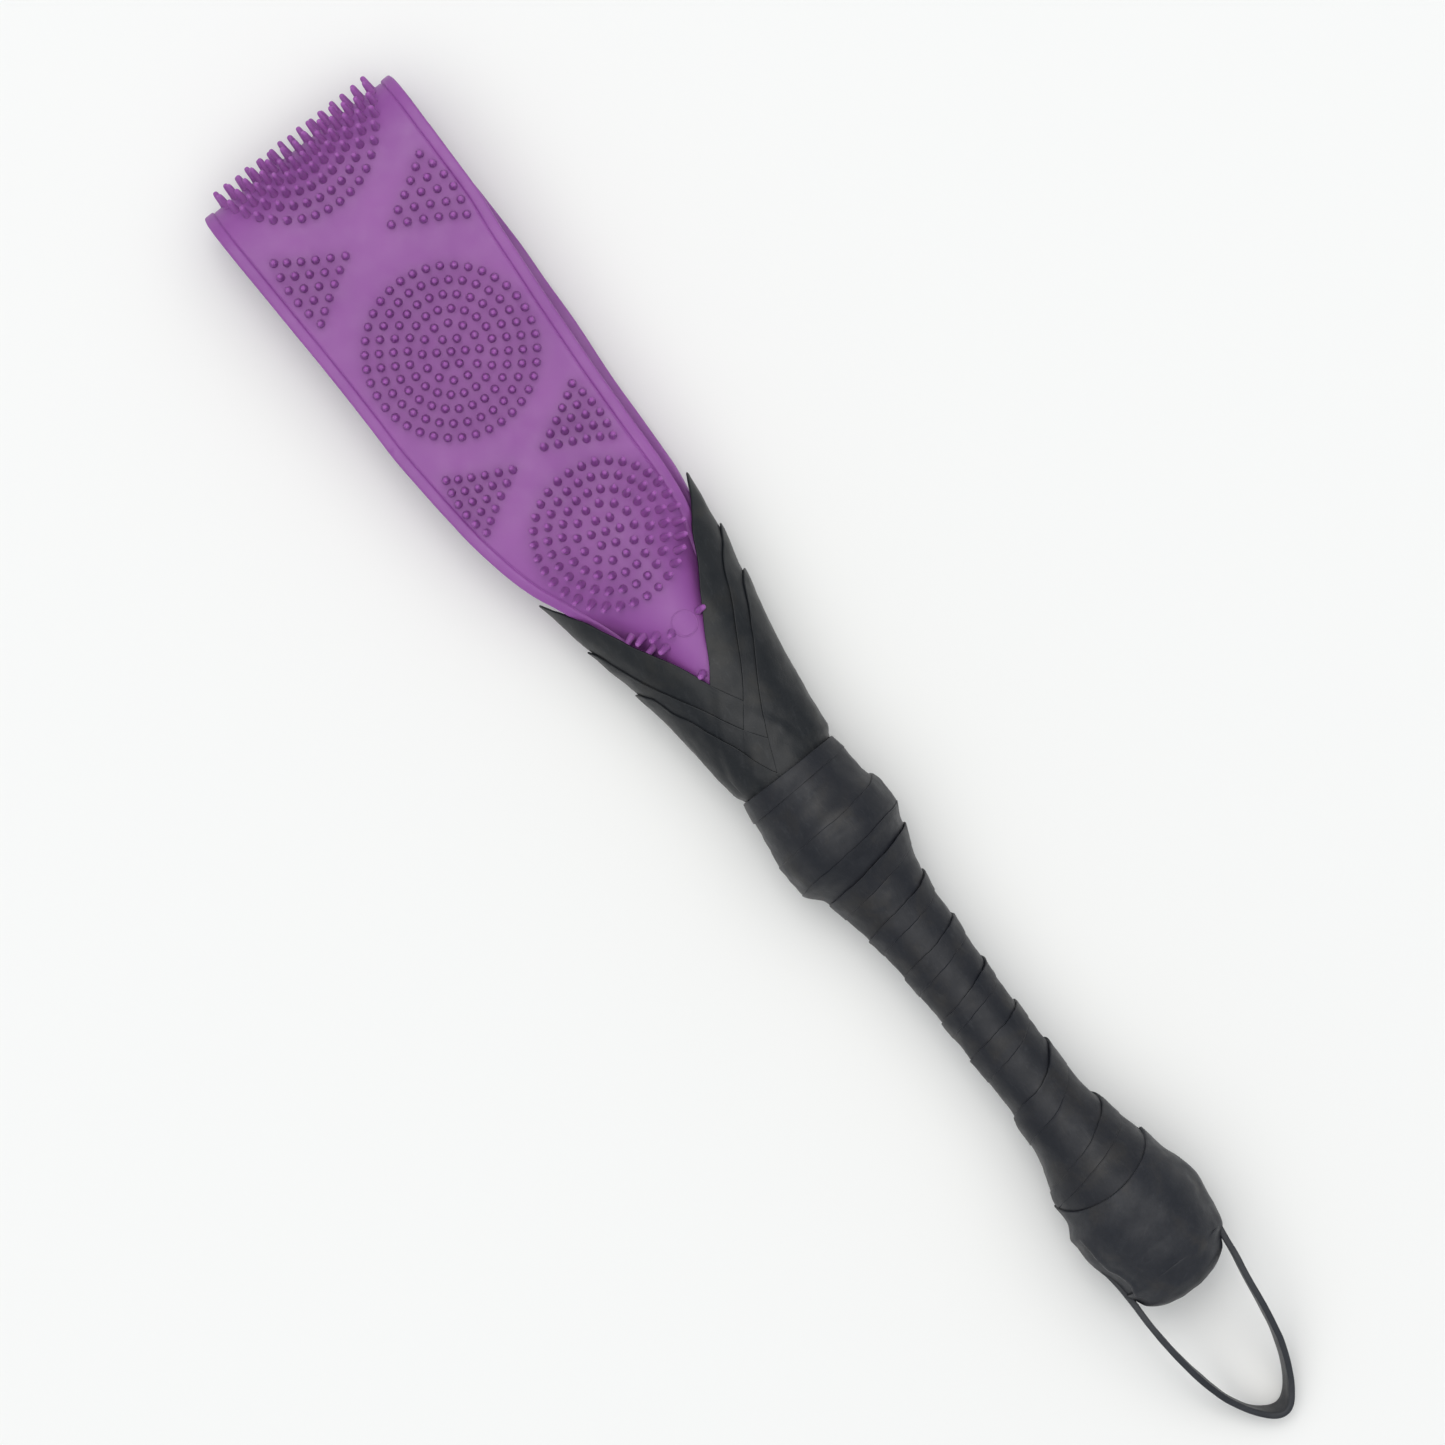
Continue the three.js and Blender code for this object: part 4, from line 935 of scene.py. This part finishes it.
def make_strap():
    line, length = smooth_line(STRAP_LINE, 0.8)
    for _ in range(3):
        line[1:-1] = 0.25 * line[:-2] + 0.5 * line[1:-1] + 0.25 * line[2:]
    tan = np.gradient(line, axis=0)
    tan /= np.linalg.norm(tan, axis=1)[:, None]
    tilt = np.where(np.arange(len(line)) > np.argmax(line[:, 0]), STRAP_TILT_HIGH(line[:, 0]), STRAP_TILT_LOW(line[:, 0]))
    tilt = np.radians(np.convolve(np.pad(tilt, 3, mode="edge"), np.ones(7) / 7, "valid"))
    w = np.stack([np.sin(tilt), 0 * tilt, np.cos(tilt)], -1)  # in (s, y, z)
    w -= tan * np.einsum("ij,ij->i", w, tan)[:, None]
    w /= np.linalg.norm(w, axis=1)[:, None]
    n = np.cross(tan, w)
    n /= np.linalg.norm(n, axis=1)[:, None]
    hw, ht, r = STRAP_WIDE / 2, STRAP_THICK / 2, 0.28
    sec = [(-ht + r, -hw), (0, -hw), (ht - r, -hw), (ht - 0.3 * r, -hw + 0.3 * r), (ht, -hw + r), (ht, -hw / 2), (ht, 0), (ht, hw / 2), (ht, hw - r), (ht - 0.3 * r, hw - 0.3 * r), (ht - r, hw), (0, hw), (-ht + r, hw), (-ht + 0.3 * r, hw - 0.3 * r), (-ht, hw - r), (-ht, hw / 2), (-ht, 0), (-ht, -hw / 2), (-ht, -hw + r), (-ht + 0.3 * r, -hw + 0.3 * r)]
    p = np.array([[line[i] + n[i] * a + w[i] * b for a, b in sec] for i in range(len(line))])
    pts = place(p[..., 0], p[..., 1], p[..., 2])
    arc = np.linspace(0, length, len(line))
    around = np.array([2 * b + a for a, b in sec])
    uv = np.stack([np.repeat(arc[:, None], len(sec), 1), np.repeat(around[None], len(arc), 0)], -1) * 0.001
    wave = lumps(pts, 6, 0.12, 91)
    pts[..., 1] += wave * 0.001
    pts[..., 2] = np.maximum(pts[..., 2], 0.00002)
    return tube("wrist_strap_loop", pts, M_STRAP, uv, 40)


# ---------------------------------------------------------------- make everything
def z_mid(s):
    return float(mid_z(s))


strip = make_strip()
at(147, 0, z_mid(143))
at(112, 0, z_mid(143))
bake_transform(strip)
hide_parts("belt_loop", "belt_tail_front", "belt_tail_back")

leg, fold = nub_places()
front_nubs, n_front = make_nubs("belt_nubs_front", leg + fold, 7)
back_nubs, n_back = make_nubs("belt_nubs_back", [(-q, y, d) for q, y, d in leg], 8)
mark = make_mould_mark()
for ob in (front_nubs, back_nubs, mark):
    at(147, 0, z_mid(143))
    at(112, 0, z_mid(143))
    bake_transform(ob)
print("nubs", n_front, n_back, "faces", len(front_nubs.data.polygons), len(back_nubs.data.polygons))

for level, name in enumerate(FLAP_ORDER):
    ob = make_flap(name, level)
    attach(ob, "handle")
    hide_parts(name)

collar = make_ring("collar_strip", lambda th: (792.2 + 0 * th) * UNIT, lambda th: (812 - 2.5 * np.cos(th)) * UNIT, lambda s, th: 0.42 + 0 * th, M_WRAP, 81)
bulb = make_winding("bulb_winding", -0.6, 3.75, M_WRAP)
grip = make_winding("grip_winding", 3.75, 7.75, M_WRAP)
neck = make_winding("neck_winding", 7.75, 9.8, M_WRAP)
pommel = make_pommel()
end = make_end()
for ob, node in ((collar, "collar_band"), (bulb, "bulb_wrap"), (grip, "grip_wrap"), (neck, "neck_wrap"), (pommel, "pommel_wrap"), (end, "pommel_end_band")):
    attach(ob, "handle")
    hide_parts(node)

strap = make_strap()
at(428.0, 0, 21.2)
at(437.6, 0, 21.2)
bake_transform(strap)
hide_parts("wrist_strap", "strap_tail_left", "strap_tail_right")

for node, material in (("handle_core", M_WOOD), ("pommel_core", M_WOOD), ("tail_lashing", M_TWINE), ("bulb_padding", M_PADDING), ("grip_underwrap", M_PADDING)):
    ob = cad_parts[node]
    ob.data.materials.clear()
    ob.data.materials.append(material)

# ---------------------------------------------------------------- floor, light and camera
m_floor, t_floor, sh_floor = nodes_of("pale_floor")
sh_floor.inputs["Base Color"].default_value = (0.856, 0.848, 0.828, 1)
sh_floor.inputs["Roughness"].default_value = 0.9
sh_floor.inputs["Specular IOR Level"].default_value = 0.1
fp = np.array([[-12, -12, -0.0002], [12, -12, -0.0002], [12, 12, -0.0002], [-12, 12, -0.0002]], float)
floor = build("floor", fp, [np.array([[0, 1, 2, 3]])], m_floor, None, 0)

world = bpy.data.worlds.new("studio")
bpy.context.scene.world = world
world.use_nodes = True
tw = world.node_tree
back = tw.nodes["Background"]
way = tw.nodes.new("ShaderNodeTexCoord")
parts = tw.nodes.new("ShaderNodeSeparateXYZ")
tw.links.new(way.outputs["Generated"], parts.inputs[0])
SKY = [  # by the sine of the height above the horizon: a pale room, darker walls and a wide bright ceiling panel
    (0.0, (0.46, 0.47, 0.48)), (0.15, (0.42, 0.44, 0.46)), (0.25, (0.135, 0.16, 0.19)), (0.50, (0.135, 0.16, 0.19)),
    (0.66, (0.34, 0.36, 0.38)), (0.80, (0.86, 0.87, 0.87)), (1.0, (1.0, 0.995, 0.985)),
]
tw.links.new(ramp(tw, parts.outputs[2], SKY), back.inputs[0])
back.inputs[1].default_value = 1.72

VIEW_UP = Vector((0.788, -0.616, 0))
VIEW_RIGHT = Vector((-0.616, -0.788, 0))
AIM = Vector((0.02423, 0.00566, 0.0))


def area(name, where, target, size, power, colour=(1, 1, 1)):
    d = bpy.data.lights.new(name, "AREA")
    d.shape = "DISK"
    d.size = size
    d.energy = power
    d.color = colour
    ob = bpy.data.objects.new(name, d)
    bpy.context.scene.collection.objects.link(ob)
    ob.location = where
    ob.rotation_euler = (Vector(target) - Vector(where)).to_track_quat("-Z", "Y").to_euler()
    return ob


area("key_light", AIM + VIEW_UP * 1.1 + Vector((0, 0.45, 3.0)), AIM, 1.4, 16.5)

cam = bpy.data.cameras.new("camera")
cam.sensor_width = 36
cam.lens = 167.2
cam.clip_start, cam.clip_end = 0.05, 50
camera = bpy.data.objects.new("camera", cam)
bpy.context.scene.collection.objects.link(camera)
camera.location = (AIM.x, AIM.y, 2.020)
camera.rotation_euler = (0, 0, math.radians(-128.02))
bpy.context.scene.camera = camera
bpy.context.scene.view_settings.view_transform = "Standard"
